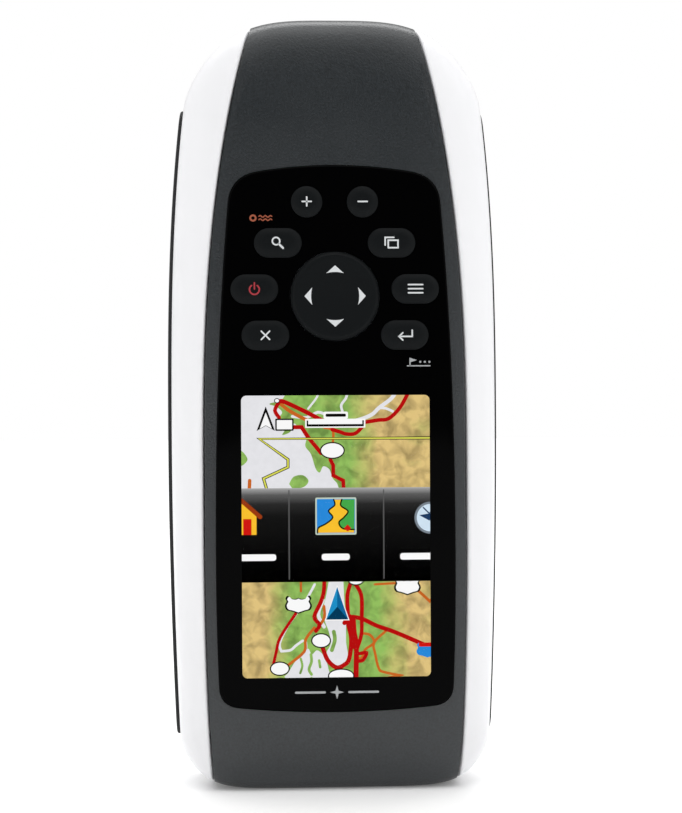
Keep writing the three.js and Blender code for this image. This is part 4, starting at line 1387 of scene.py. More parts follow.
@dataclass
class MarkSheet:
    """Flat printed shapes gathered into one thin mesh."""

    depth: Callable[[Array, Array], Array]
    thickness: float = 0.03
    points: list[Array] = field(default_factory=list)
    faces: list[list[int]] = field(default_factory=list)

    def area(self, outline: Array) -> None:
        """Adds a closed outline of (x, z) points as a thin slab."""
        start = sum(len(p) for p in self.points)
        count = len(outline)
        y = self.depth(outline[:, 0], outline[:, 1])
        self.points.append(at_depth(outline, y - self.thickness))
        self.points.append(at_depth(outline, y))
        self.faces.append(list(range(start, start + count)))
        self.faces.append(list(range(start + 2 * count - 1, start + count - 1, -1)))
        number = np.arange(count)
        after = (number + 1) % count
        quads = np.stack([number, after, after + count, number + count], axis=1) + start
        self.faces.extend(quads.tolist())

    def stroke(
        self, path: Sequence[tuple[float, float]] | Array, width: float, closed: bool = False
    ) -> None:
        """Adds a path drawn with a round pen: cross-sections that shrink to a half disc past each end.

        Args:
            path: points of (x, z).
            width: pen width.
            closed: whether the last point joins the first.
        """
        line = np.asarray(path, float)
        ahead = np.roll(line, -1, axis=0) - line
        behind = line - np.roll(line, 1, axis=0)
        if not closed:
            ahead[-1] = behind[-1]
            behind[0] = ahead[0]
        ahead /= np.linalg.norm(ahead, axis=1, keepdims=True)
        behind /= np.linalg.norm(behind, axis=1, keepdims=True)
        along = ahead + behind
        along /= np.maximum(np.linalg.norm(along, axis=1, keepdims=True), 1e-9)
        reach = width / 2 / np.maximum(np.sum(along * ahead, axis=1), 0.5)
        if not closed:
            swing = np.linspace(1.5, 0, 6)
            grow = np.sin(swing)[:, None] * width / 2
            line = np.concatenate([line[:1] - along[:1] * grow, line, line[-1:] + along[-1:] * grow[::-1]])
            reach = np.concatenate([np.cos(swing) * width / 2, reach, np.cos(swing[::-1]) * width / 2])
            along = np.concatenate(
                [np.repeat(along[:1], 6, axis=0), along, np.repeat(along[-1:], 6, axis=0)]
            )
        side = np.stack([-along[:, 1], along[:, 0]], axis=1) * reach[:, None]
        self._ribbon(line - side, line + side, closed)

    def _ribbon(self, low: Array, high: Array, closed: bool) -> None:
        """Adds a thin solid between two paths."""
        start = sum(len(p) for p in self.points)
        corners = []
        for edge, lift in ((low, self.thickness), (high, self.thickness), (high, 0.0), (low, 0.0)):
            corners.append(at_depth(edge, self.depth(edge[:, 0], edge[:, 1]) - lift))
        loops = np.stack(corners, axis=1)
        count = len(low)
        faces = grid_faces(count, 4, closed, True)
        if not closed:
            faces += [[0, 1, 2, 3], [4 * count - 4, 4 * count - 3, 4 * count - 2, 4 * count - 1]]
        self.points.append(loops.reshape(-1, 3))
        self.faces.extend([[start + number for number in face] for face in faces])

    def loop(
        self, x: float, z: float, radius: float, width: float, start: float = 0.0, sweep: float = 360.0
    ) -> None:
        """Adds an arc or a whole circle drawn with a round pen, in degrees from the +X direction."""
        whole = sweep >= 360
        turn = np.radians(np.linspace(start, start + sweep, 33))
        path = np.stack([x + radius * np.cos(turn), z + radius * np.sin(turn)], axis=1)
        self.stroke(path[:-1] if whole else path, width, closed=whole)

    def disc(self, x: float, z: float, half_width: float, half_height: float) -> None:
        """Adds a filled ellipse."""
        turn = np.linspace(0, 2 * np.pi, 40, endpoint=False)
        self.area(np.stack([x + half_width * np.cos(turn), z + half_height * np.sin(turn)], axis=1))

    def piece(self, name: str) -> bpy.types.Object:
        """The gathered shapes as one object."""
        return make_piece(name, np.concatenate(self.points), self.faces)


# ---- Keypad --------------------------------------------------------------------------------------


class Mark(Enum):
    """What is printed on a key."""

    PLUS = "plus"
    MINUS = "minus"
    SEARCH = "search"
    PAGES = "pages"
    POWER = "power"
    LIST = "list"
    CLOSE = "close"
    ACCEPT = "accept"


MARK_PATHS = {
    Mark.PLUS: (((-0.88, 0), (0.88, 0)), ((0, -0.88), (0, 0.88))),
    Mark.MINUS: (((-0.88, 0), (0.88, 0)),),
    Mark.SEARCH: (((0.2, -0.25), (1.0, -1.05)),),
    Mark.PAGES: (
        ((-1.3, -0.5), (-1.3, 1.0), (0.4, 1.0)),
        ((-0.7, -1.0), (1.2, -1.0), (1.2, 0.45), (-0.7, 0.45), (-0.7, -1.0)),
    ),
    Mark.POWER: (((0, 0), (0, 1.2)),),
    Mark.LIST: tuple(((-1.4, row), (1.4, row)) for row in (-0.8, 0.0, 0.8)),
    Mark.CLOSE: (((-0.8, -0.8), (0.8, 0.8)), ((-0.8, 0.8), (0.8, -0.8))),
    Mark.ACCEPT: (((1.4, 0.9), (1.4, -0.3), (-1.1, -0.3)), ((-0.45, 0.4), (-1.2, -0.3), (-0.45, -1.0))),
}


@dataclass(frozen=True)
class Key:
    """One key: its CAD node, its place and size, and its mark."""

    node: str
    x: float
    z: float
    width: float
    height: float
    mark: Mark

    def outline(self, grow: float, steps: int = 14) -> Array:
        """Outline with fully round ends, grown by a distance."""
        half_height = self.height / 2 + grow
        return rounded_rectangle(
            self.x, self.z, self.width / 2 + grow, half_height, half_height * 0.999, steps
        )


def key_from_frame(node: str, mark: Mark, flange: float = 0.6) -> Key:
    """A key whose place and size are read from its CAD node, less the flange behind the panel."""
    low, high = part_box(node)
    middle = (low + high) / 2 / MM
    size = (high - low) / MM
    return Key(node, middle.x, middle.z, size.x - 2 * flange, size.z - 2 * flange, mark)


@dataclass
class Keypad:
    """Eight pillow-shaped keys and the four-way rocker."""

    keys: tuple[Key, ...]
    top_y: float = -14.96
    shoulder_y: float = -14.3
    base_y: float = -12.1
    dome_reach: float = 2.3
    rocker_z: float = 96.8
    rocker_radius: float = 8.66
    rocker_rim: float = 0.75

    def dome(self, key: Key, x: Array, z: Array) -> Array:
        """Depth of a key's face: it rises with the cube of the distance that is left to its flat middle."""
        reach_x = np.maximum(np.abs(x - key.x) - (key.width - key.height) / 2, 0)
        inside = key.height / 2 - np.hypot(reach_x, z - key.z)
        share = np.clip(inside / self.dome_reach, 0, 1)
        return self.shoulder_y + (self.top_y - self.shoulder_y) * (1 - (1 - share) ** 2.6)

    def key_piece(self, key: Key) -> bpy.types.Object:
        """A key: flange, straight skirt and domed face as stacked outlines."""
        rings = [at_depth(key.outline(0.6), self.base_y), at_depth(key.outline(0.6), self.base_y - 0.4)]
        rings += [at_depth(key.outline(0), self.base_y - 0.4), at_depth(key.outline(0), self.shoulder_y)]
        for inset in np.linspace(0.06, key.height / 2 - 0.03, 22):
            outline = key.outline(-inset)
            rings.append(at_depth(outline, self.dome(key, outline[:, 0], outline[:, 1])))
        return loops_piece(f"{key.node}_cap", np.array(rings))

    def mark_piece(self, key: Key) -> bpy.types.Object:
        """The key's printed mark, laid on its dome."""
        sheet = MarkSheet(lambda x, z: self.dome(key, x, z) - 0.005, 0.025)
        pen = 0.3
        if key.mark is Mark.SEARCH:
            sheet.loop(key.x - 0.35, key.z + 0.3, 0.72, pen)
            pen *= 1.3
        if key.mark is Mark.POWER:
            sheet.loop(key.x, key.z - 0.1, 0.95, pen, 125, 290)
        for path in MARK_PATHS.get(key.mark, ()):
            sheet.stroke([(key.x + x, key.z + z) for x, z in path], pen)
        return sheet.piece(f"{key.node}_mark")

    def rocker_y(self, radius: Array) -> Array:
        """Depth of the rocker's face: a bevelled rim, a crest and a shallow dish towards the middle."""
        crest = self.rocker_radius - self.rocker_rim
        bevel = np.clip((radius - crest) / self.rocker_rim, 0, 1)
        dish = np.clip((crest - radius) / crest, 0, 1)
        return self.top_y + 0.62 * bevel**1.6 + 0.24 * dish**0.8 * np.minimum(dish * 5, 1)

    def rocker_piece(self) -> bpy.types.Object:
        """The rocker: circles stacked from its flat back over the rim to the middle of the dish."""
        radii = [
            self.rocker_radius, *np.linspace(self.rocker_radius, self.rocker_radius - self.rocker_rim, 8)
        ]
        radii += list(np.linspace(self.rocker_radius - self.rocker_rim - 0.15, 0.05, 26))
        depths = [-12.9, *self.rocker_y(np.array(radii[1:]))]
        rings = [at_depth(circle(0, self.rocker_z, r, 144), y) for r, y in zip(radii, depths, strict=True)]
        return loops_piece("rocker_disc", np.array(rings))

    def arrows_piece(self) -> bpy.types.Object:
        """Four printed arrow heads, each with a slightly hollow base."""
        def depth(x: Array, z: Array) -> Array:
            """Depth just in front of the rocker's face."""
            return self.rocker_y(np.hypot(x, z - self.rocker_z)) - 0.008

        sheet = MarkSheet(depth, 0.025)
        span = np.linspace(-1, 1, 9)
        base = np.stack([1.72 * span, -0.55 + 0.24 * (1 - span**2)], axis=1)
        head = np.concatenate([base, [[0.0, 0.98]]])
        for quarter in range(4):
            turn = quarter * np.pi / 2
            turned = np.array([[np.cos(turn), np.sin(turn)], [-np.sin(turn), np.cos(turn)]])
            sheet.area((head + [0, 5.0]) @ turned + [0, self.rocker_z])
        return sheet.piece("rocker_arrows")

    def holes(self, gap: float) -> list[Array]:
        """Outlines of the holes in the panel, a gap wider than each key."""
        return [key.outline(gap, 14) for key in self.keys] + [
            circle(0, self.rocker_z, self.rocker_radius + gap, 144)
        ]


def panel_marks(panel: LensPanel) -> list[tuple[bpy.types.Object, Finish]]:
    """Printed marks beside the keys: a lifebuoy with waves, a flag, and a small star with bars."""
    def depth(x: Array, z: Array) -> Array:
        """Depth just in front of the panel's face."""
        return np.full(np.shape(x), panel.face_y - 0.004)

    rescue = MarkSheet(depth, 0.02)
    x, z, pen = -15.9, 112.05, 0.22
    rescue.loop(x, z, 0.52, 0.36)
    wave = np.linspace(0, 1, 25)
    for row in (-0.32, 0.32):
        path = np.stack([x + 1.15 + 2.5 * wave, z + row + 0.16 * np.sin(wave * 5 * np.pi)], axis=1)
        rescue.stroke(path, pen)
    flag = MarkSheet(depth, 0.02)
    x, z = 14.6, 83.9
    flag.stroke([(x, z - 0.7), (x, z + 0.75)], pen)
    flag.area(np.array([(x + 0.1, z + 0.8), (x + 1.35, z + 0.4), (x + 0.1, z)]))
    flag.stroke([(x - 0.5, z - 0.72), (x + 3.9, z - 0.72)], pen)
    for step in (2.0, 2.9, 3.8):
        flag.loop(x + step, z + 0.05, 0.1, pen)
    star = MarkSheet(depth, 0.02)
    x, z = 0.0, 19.6
    turn = np.linspace(0, 2 * np.pi, 8, endpoint=False)
    radius = np.where(np.arange(8) % 2 == 0, 1.35, 0.42)
    star.area(np.stack([x + radius * np.cos(turn), z + radius * np.sin(turn)], axis=1))
    for side in (-1, 1):
        star.stroke([(side * 2.4, z), (side * 8.0, z)], 0.42)
    return [
        (rescue.piece("rescue_mark"), ORANGE_MARK),
        (flag.piece("flag_mark"), GREY_MARK),
        (star.piece("star_mark"), GREY_MARK),
    ]


# ---- Display -------------------------------------------------------------------------------------


def smooth_path(points: Sequence[tuple[float, float]], steps: int = 5) -> Array:
    """A curve through the points: cubics whose slope at a point is half its neighbours' span.

    Args:
        points: the points as (x, z).
        steps: new points for each piece.

    Returns:
        Array of (point, 2).
    """
    known = np.asarray(points, float)
    padded = np.concatenate([known[:1], known, known[-1:]])
    a, b, c, d = padded[:-3, None], padded[1:-2, None], padded[2:-1, None], padded[3:, None]
    t = np.linspace(0, 1, steps, endpoint=False)[None, :, None]
    bow = a - 2.5 * b + 2 * c - d / 2
    twist = 1.5 * b - a / 2 - 1.5 * c + d / 2
    curve = b + (c - a) / 2 * t + bow * t**2 + twist * t**3
    return np.concatenate([curve.reshape(-1, 2), known[-1:]])


@dataclass(frozen=True)
class Line:
    """One road, river or border of the map: its points and width, and whether it bends softly or closes."""

    points: tuple[tuple[float, float], ...]
    width: float
    bends: bool = True
    closed: bool = False
    steps: int = 4

    def path(self) -> Array:
        """The points, curved where the line bends softly."""
        return smooth_path(self.points, self.steps) if self.bends else np.asarray(self.points, float)


PAPER_WATER = Glow("map_water", srgb(226, 226, 230), speckle=0.06)
PAPER_WHITE = Glow("map_white", srgb(248, 248, 248), speckle=0.0)
INK = Glow("map_ink", srgb(18, 18, 16), speckle=0.0)
ROAD_RED = Glow("road_red", srgb(178, 22, 22), speckle=0.1)
ROAD_BROWN = Glow("road_brown", srgb(198, 100, 40), speckle=0.1)
BORDER_LIME = Glow("border_lime", srgb(214, 214, 90), speckle=0.05)
HILLS = LandGlow("map_hills", 2.0, 9.0, both_sides=False)
VALLEY = LandGlow("map_valley", 8.0, 15.0, both_sides=True)
ICON_RED = Glow("icon_red", srgb(205, 30, 25), speckle=0.03)
ICON_YELLOW = Glow("icon_yellow", srgb(247, 190, 50), speckle=0.04)
ICON_BLUE = Glow("icon_blue", srgb(45, 135, 215), speckle=0.06)
ICON_GREEN = Glow("icon_green", srgb(70, 165, 75), speckle=0.06)
ICON_ROOF = Glow("icon_roof", srgb(150, 60, 25), speckle=0.06)
POINTER_LIGHT = Glow("pointer_light", srgb(35, 140, 195), speckle=0.08)
POINTER_DARK = Glow("pointer_dark", srgb(12, 60, 90), speckle=0.08)
POINTER_MIDDLE = Glow("pointer_middle", srgb(22, 100, 150), speckle=0.08)
DIVIDER_GREY = Glow("divider_grey", srgb(88, 88, 88), speckle=0.1)
ICON_PALE = Glow("icon_pale", srgb(190, 205, 190), speckle=0.05)
COMPASS_GREY = Glow("compass_grey", srgb(120, 130, 140), speckle=0.1)
COMPASS_FACE = Glow("compass_face", srgb(205, 225, 240), speckle=0.08)
NEEDLE_BLUE = Glow("needle_blue", srgb(35, 60, 95), speckle=0.05)


@dataclass(frozen=True)
class FadeGlow:
    """A grey that fades with the height: bright at the top of the menu band and black below."""

    name: str
    low_z: float
    high_z: float
    levels: tuple[tuple[float, float], ...]

    def material(self) -> bpy.types.Material:
        """The fade as a node material: a ramp of greys over the object's z, given out as light."""
        material, shader = new_material(self.name)
        tree = material.node_tree
        place = new_node(tree, "TexCoord", {}).outputs["Object"]
        height = new_node(tree, "SeparateXYZ", {"Vector": place}).outputs["Z"]
        reach = {"Value": height, "From Min": self.low_z * MM, "From Max": self.high_z * MM}
        ramp = new_node(tree, "ValToRGB", {"Fac": new_node(tree, "MapRange", reach).outputs["Result"]})
        elements = ramp.color_ramp.elements
        elements[0].color = (*srgb(*[self.levels[0][1]] * 3), 1)
        elements[1].color = (*srgb(*[self.levels[-1][1]] * 3), 1)
        for share, grey in self.levels[1:-1]:
            elements.new(share).color = (*srgb(grey, grey, grey), 1)
        light = {"Emission Strength": 1.0, "Emission Color": ramp.outputs["Color"]}
        feed(shader, {"Base Color": (0, 0, 0, 1), "Specular IOR Level": 0.0, **light})
        return material


MENU_FADE = FadeGlow(
    "menu_fade",
    41.0,
    59.4,
    ((0.0, 0), (0.12, 3), (0.3, 14), (0.7, 26), (0.83, 45), (0.93, 92), (0.985, 150), (1.0, 176)),
)
LitFinish = Glow | LandGlow | FadeGlow


@dataclass
class Display:
    """Lit picture of a chart with a menu band, in thin layers behind the window."""

    low_z: float = 22.0
    high_z: float = 78.0
    half_width: float = 18.95
    front_y: float = -12.45
    layer: float = 0.012
    band_low: float = 41.0
    band_high: float = 59.4
    pieces: list[tuple[bpy.types.Object, LitFinish]] = field(default_factory=list)

    def _sheet(self, level: float) -> MarkSheet:
        """An empty layer at a level above the base."""
        y = self.front_y - level * self.layer
        return MarkSheet(lambda x, z: np.full(np.shape(x), y), self.layer * 0.6)

    def _box(self, sheet: MarkSheet, sides: tuple[float, ...], corner: float) -> None:
        """Adds a rounded box given by its left, right, lower and upper side."""
        low_x, high_x, low_z, high_z = sides
        centre = ((low_x + high_x) / 2, (low_z + high_z) / 2)
        sheet.area(rounded_rectangle(*centre, (high_x - low_x) / 2, (high_z - low_z) / 2, corner, 5))

    def _draw(
        self,
        level: float,
        name: str,
        glow: LitFinish,
        areas: Sequence[Outline] = (),
        boxes: Sequence[tuple[float, ...]] = (),
        corner: float = 0.05,
        lines: Sequence[Line] = (),
    ) -> None:
        """Draws one layer and notes its finish.

        Args:
            level: layers above the base.
            name: the piece's name.
            glow: its finish.
            areas: filled outlines.
            boxes: left, right, lower and upper side of each rounded box.
            corner: corner radius of the boxes.
            lines: lines drawn with a round pen.
        """
        sheet = self._sheet(level)
        for sides in boxes:
            self._box(sheet, sides, corner)
        for outline in areas:
            sheet.area(np.asarray(outline, float))
        for line in lines:
            sheet.stroke(line.path(), line.width, line.closed)
        self.pieces.append((sheet.piece(name), glow))

    def ground(self) -> None:
        """Water under everything, the coast and hills of the upper map, and the valley of the lower map."""
        wide = self.half_width
        whole = (-wide, wide, self.low_z, self.high_z)
        self._draw(0, "picture_water", PAPER_WATER, boxes=[whole], corner=0.5)
        coast = [
            (-9.6, 78.0), (-10.6, 76.6), (-12.9, 75.9), (-11.5, 75.3), (-10.4, 74.2), (-11.2, 72.8),
            (-9.9, 71.0), (-10.4, 69.8), (-8.8, 70.4), (-8.2, 72.0), (-7.2, 71.3), (-5.6, 69.7),
            (-5.9, 67.6), (-4.8, 66.0), (-3.9, 63.2), (-3.1, 62.4), (-2.4, 63.6), (-1.2, 63.0),
            (-0.6, 61.3), (0.3, 60.2), (0.8, 58.6),
        ]
        cape = [(-wide, 67.2), (-17.8, 66.2), (-17.2, 65.0), (-18.0, 64.0), (-wide, 63.6)]
        isle = [(-9.1, 60.2), (-8.2, 61.6), (-6.4, 61.9), (-5.3, 60.8), (-6.2, 59.6), (-8.4, 59.2)]
        mainland = np.concatenate([smooth_path(coast), [[wide, 58.6], [wide, 78.0]]])
        self._draw(1, "picture_hills", HILLS, areas=[mainland, smooth_path(cape), smooth_path(isle)])
        valley = (-wide, wide, self.low_z, self.band_low + 1)
        self._draw(1, "picture_valley", VALLEY, boxes=[valley], corner=0.5)

    def waters(self) -> None:
        """Rivers of the upper map, and the sound and its inlets in the lower map."""
        rivers = (
            Line(((2.4, 78.0), (2.1, 76.9), (1.2, 75.6), (1.4, 74.4)), 0.5),
            Line(((-3.2, 78.0), (-3.8, 76.8), (-5.3, 74.9)), 0.4),
            Line(((11.9, 78.0), (10.9, 76.7), (8.6, 75.0), (7.2, 73.7), (4.7, 72.7), (1.5, 72.0)), 0.75),
            Line(((8.6, 75.0), (9.9, 74.9), (11.3, 74.3)), 0.5),
            Line(((-1.6, 73.6), (-3.4, 74.2), (-5.6, 73.2), (-8.4, 73.4)), 0.55),
            Line(((-4.2, 40.5), (-5.7, 37.8), (-7.7, 35.0), (-9.7, 32.1), (-11.1, 29.1), (-10.8, 27.5)), 0.5),
            Line(((-10.8, 27.5), (-9.0, 27.7), (-7.9, 28.6), (-6.6, 29.5)), 0.5),
            Line(((-2.6, 37.4), (-3.5, 34.6), (-2.4, 32.2)), 0.7),
            Line(((-6.0, 29.2), (-6.1, 27.6), (-7.9, 25.3), (-9.2, 23.2)), 0.5),
        )
        self._draw(2, "picture_rivers", PAPER_WATER, lines=rivers)
        sound = [
            (-1.3, 42.0), (-1.9, 38.6), (-2.6, 35.4), (-2.2, 33.2), (-1.5, 31.3), (-1.1, 28.9),
            (-2.0, 26.8), (-0.6, 24.6), (1.2, 24.8), (2.2, 26.6), (1.9, 29.2), (1.9, 33.0), (1.6, 37.0),
            (1.4, 42.0),
        ]
        inlets = [
            (-6.1, 28.0), (-7.9, 25.4), (-9.1, 23.6), (-9.9, 22.0), (-2.0, 22.0), (-1.6, 24.0),
            (-2.5, 26.5), (-3.8, 27.6), (-4.8, 26.8), (-5.4, 27.9),
        ]
        self._draw(2, "picture_sound", PAPER_WATER, areas=[smooth_path(sound), smooth_path(inlets)])
        isles = (
            Line(((-0.5, 31.2), (-0.3, 29.6), (-0.9, 27.6)), 0.75),
            Line(((-5.0, 26.8), (-4.9, 25.4), (-5.4, 23.9), (-4.9, 22.9)), 0.55),
            Line(((-7.0, 26.0), (-6.7, 24.6), (-7.1, 23.2)), 0.45),
            Line(((-3.4, 25.6), (-3.2, 24.3)), 0.5),
        )
        self._draw(3, "picture_isles", VALLEY, lines=isles)

    def roads(self) -> None:
        """Brown and red roads on both maps, and the border line with its dark edges."""
        brown = (
            Line(((-10.6, 75.8), (-8.8, 74.4), (-5.4, 72.6), (-3.2, 72.0)), 0.7),
            Line(((-2.2, 71.2), (-0.5, 70.6), (-0.5, 68.2)), 0.5),
            Line(((-16.8, 60.9), (-16.9, 58.8)), 0.7),
            Line(((-4.3, 32.0), (-6.0, 29.8), (-6.3, 27.4), (-9.3, 24.9), (-10.4, 24.1)), 0.55),
            Line(((-6.9, 41.5), (-6.9, 39.2)), 0.45),
            Line(((-2.4, 36.2), (-2.3, 34.2), (-3.0, 32.8)), 0.55),
            Line(((9.8, 31.3), (7.4, 29.0), (7.6, 26.8), (8.3, 23.9), (9.3, 23.2), (13.0, 22.4)), 0.5),
            Line(((5.2, 30.8), (6.6, 30.5), (7.4, 29.0), (5.6, 27.6), (4.9, 25.9), (3.9, 26.4)), 0.5),
            Line(((15.9, 39.3), (17.3, 38.0), (19.0, 36.4)), 0.55),
            Line(((7.6, 40.4), (11.6, 40.6)), 0.45),
        )
        self._draw(4, "roads_brown", ROAD_BROWN, lines=brown)
        red = (
            Line(((-10.8, 76.4), (-9.8, 76.2), (-6.0, 74.4), (-2.6, 72.6)), 0.85),
            Line(((-11.0, 76.2), (-11.8, 74.6), (-11.0, 73.2)), 0.75),
            Line(((-8.3, 71.3), (-6.6, 71.3), (-5.4, 69.4), (-2.8, 66.2)), 0.8, False),
            Line(((-1.0, 64.9), (-0.45, 63.8), (-0.45, 61.8), (1.5, 60.8), (1.6, 58.8)), 0.75, False),
            Line(((-0.6, 70.8), (1.0, 70.3), (2.2, 69.9), (3.9, 70.0), (5.2, 71.2)), 0.75),
            Line(((5.8, 72.2), (8.4, 72.6), (10.5, 72.9), (12.7, 75.0), (14.4, 78.0)), 0.75),
            Line(((-2.3, 42.0), (-2.4, 39.3), (-3.0, 37.1), (-4.3, 34.2), (-3.3, 32.6), (-4.0, 31.4)), 0.8),
            Line(((-7.9, 34.9), (-11.0, 30.2), (-11.8, 27.3), (-12.3, 25.2)), 0.6),
            Line(
                ((-2.7, 28.1), (-1.7, 25.6), (0.0, 24.2), (1.5, 24.7), (2.5, 25.9), (2.9, 29.8), (2.2, 33.0)),
                0.85,
            ),
            Line(((3.3, 34.0), (3.5, 31.0), (3.9, 28.4), (3.8, 22.0)), 1.0),
            Line(((2.6, 34.2), (2.9, 30.6), (3.4, 28.2)), 0.9),
            Line(((5.0, 34.0), (4.9, 30.6), (4.1, 28.0)), 0.75),
            Line(((2.95, 41.0), (2.2, 38.3), (2.3, 34.7)), 0.8),
            Line(((3.4, 41.0), (4.9, 38.4), (5.0, 34.2)), 0.8),
            Line(((1.6, 32.9), (2.6, 34.0), (5.0, 33.7), (7.9, 32.3), (11.5, 31.0), (17.2, 28.5)), 0.85),
            Line(((4.2, 26.8), (5.9, 27.0), (5.2, 25.6), (4.4, 25.4)), 0.7),
        )
        self._draw(5, "roads_red", ROAD_RED, lines=red)
        border = ((19.2, 69.05), (-14.9, 69.05), (-9.3, 65.0), (-9.3, 63.5), (-14.1, 61.3), (-13.3, 58.6))
        self._draw(6, "border_edge", INK, lines=[Line(border, 0.62, False)])
        self._draw(6.7, "border_line", BORDER_LIME, lines=[Line(border, 0.32, False)])

    def signs(self) -> None:
        """Blank road shields, the scale bar, the north arrow and a town dot, white with dark edges."""
        edge = self._sheet(7.5)
        face = self._sheet(8.5)
        rounds = (
            (-0.6, 66.7, 2.45, 1.66),
            (-3.0, 29.5, 1.96, 1.47),
            (-11.1, 24.1, 1.96, 1.42),
            (0.9, 22.6, 2.6, 1.4),
            (3.9, 41.4, 1.7, 1.2),
            (-11.4, 76.5, 0.55, 0.5),
        )
        for x, z, half_width, half_height in rounds:
            edge.disc(x, z, half_width, half_height)
            inner = 0.25 if half_width > 1 else 0.16
            face.disc(x, z, half_width - inner, half_height - inner)
        self._box(edge, (-11.75, -8.15, 70.6, 73.0), 0.2)
        self._box(face, (-11.45, -8.45, 70.9, 72.7), 0.1)
        for x, z in ((-7.4, 36.7), (14.0, 40.1)):
            edge.area(self._shield(x, z, 1.0))
            face.area(self._shield(x, z, 0.86))
        arrow = np.array([(-13.6, 75.4), (-15.4, 70.6), (-13.6, 71.6), (-11.8, 70.6)])
        edge.area(arrow)
        face.area((arrow - [-13.6, 72.2]) * 0.66 + [-13.6, 72.1])
        self._box(face, (-5.9, 5.9, 71.15, 72.9), 0.1)
        self.pieces += [(edge.piece("sign_edges"), INK), (face.piece("sign_faces"), PAPER_WHITE)]
        rule = self._sheet(9.5)
        for sides in ((-5.6, 5.6, 71.4, 71.85), (-5.6, -5.3, 71.5, 72.6), (5.3, 5.6, 71.5, 72.6)):
            self._box(rule, sides, 0.05)
        self._box(rule, (-1.9, 2.1, 73.3, 73.9), 0.25)
        self.pieces.append((rule.piece("scale_rule"), INK))
        self._draw(8.5, "scale_pad", PAPER_WHITE, boxes=[(-2.3, 2.5, 72.9, 74.3)], corner=0.3)
        self._draw(8.5, "badge_blue", ICON_BLUE, areas=[self._shield(17.9, 27.5, 0.82)])
        self._draw(9.5, "badge_top", ICON_RED, boxes=[(16.2, 19.2, 28.1, 28.9)], corner=0.2)

    def _shield(self, x: float, z: float, size: float) -> Array:
        """Outline of a road shield: two horns on top, bulged sides and a blunt point below."""
        right = [
            (0.0, 1.25), (0.6, 1.0), (1.5, 1.15), (2.1, 1.65), (2.55, 1.1), (2.3, 0.55), (2.65, -0.3),
            (2.3, -1.15), (1.3, -1.45), (0.0, -1.9),
        ]
        half = smooth_path(right, 4)
        outline = np.concatenate([half, (half * [-1, 1])[-2:0:-1]])[::-1]
        return outline * size + [x, z]

    def pointer(self) -> None:
        """The position pointer: a pyramid from above, light sides over a dark base, with a pale edge."""
        tip, left, right, top = (0.2, 40.0), (-2.0, 33.6), (2.35, 33.6), (0.2, 36.1)
        self._draw(10.5, "pointer_rim", PAPER_WHITE, lines=[Line((tip, left, right), 0.35, False, True)])
        self._draw(11.5, "pointer_left", POINTER_LIGHT, areas=[(tip, left, top)])
        self._draw(11.5, "pointer_base", POINTER_DARK, areas=[(left, right, top)])
        self._draw(11.5, "pointer_right", POINTER_MIDDLE, areas=[(tip, top, right)])

    def menu(self) -> None:
        """The menu band: fading ground, two dividers, three icons and plain label bars."""
        band = (-self.half_width, self.half_width, self.band_low, self.band_high)
        self._draw(12.5, "menu_band", MENU_FADE, boxes=[band], corner=0.02)
        dividers = [(x - 0.12, x + 0.12, 41.5, 59.0) for x in (-9.15, 9.4)]
        self._draw(13.5, "menu_dividers", DIVIDER_GREY, boxes=dividers)
        labels = [(*ends, 45.2, 46.5) for ends in ((-19.0, -11.7), (-2.8, 2.7), (12.6, 19.0))]
        self._draw(13.5, "menu_labels", PAPER_WHITE, boxes=labels, corner=0.5)
        self._map_icon()
        self._side_icons()

    def _map_icon(self) -> None:
        """A square chart with sea, sand and woods, a winding coast and a small marker."""
        self._draw(13.5, "icon_frame", ICON_PALE, boxes=[(-4.0, 4.05, 50.2, 57.5)], corner=0.3)
        self._draw(14.5, "icon_sea", ICON_BLUE, boxes=[(-3.7, 3.75, 50.5, 57.2)], corner=0.15)
        coast = Line(
            (
                (-0.4, 57.1), (-0.2, 56.0), (-1.4, 54.9), (-0.6, 53.6), (-1.9, 52.4), (-3.4, 51.6),
                (-3.6, 50.6),
            ),
            0.28,
            steps=5,
        )
        edge = Line(
            ((1.2, 57.1), (1.0, 55.9), (2.4, 54.8), (1.6, 53.6), (0.6, 52.6), (1.4, 51.4), (3.6, 51.2)),
            0.28,
            steps=5,
        )
        sand = np.concatenate([coast.path(), [(3.6, 50.6), (3.7, 57.1)]])
        wood = np.concatenate([edge.path(), [(3.7, 57.1)]])
        marker = [(2.3, 52.2), (1.6, 51.5), (2.3, 50.8), (3.0, 51.5)]
        self._draw(15.5, "icon_sand", ICON_YELLOW, areas=[sand])
        self._draw(16.5, "icon_wood", ICON_GREEN, areas=[wood])
        self._draw(17.5, "icon_coasts", INK, lines=[coast, edge])
        self._draw(18.5, "icon_marker", ICON_RED, areas=[marker])

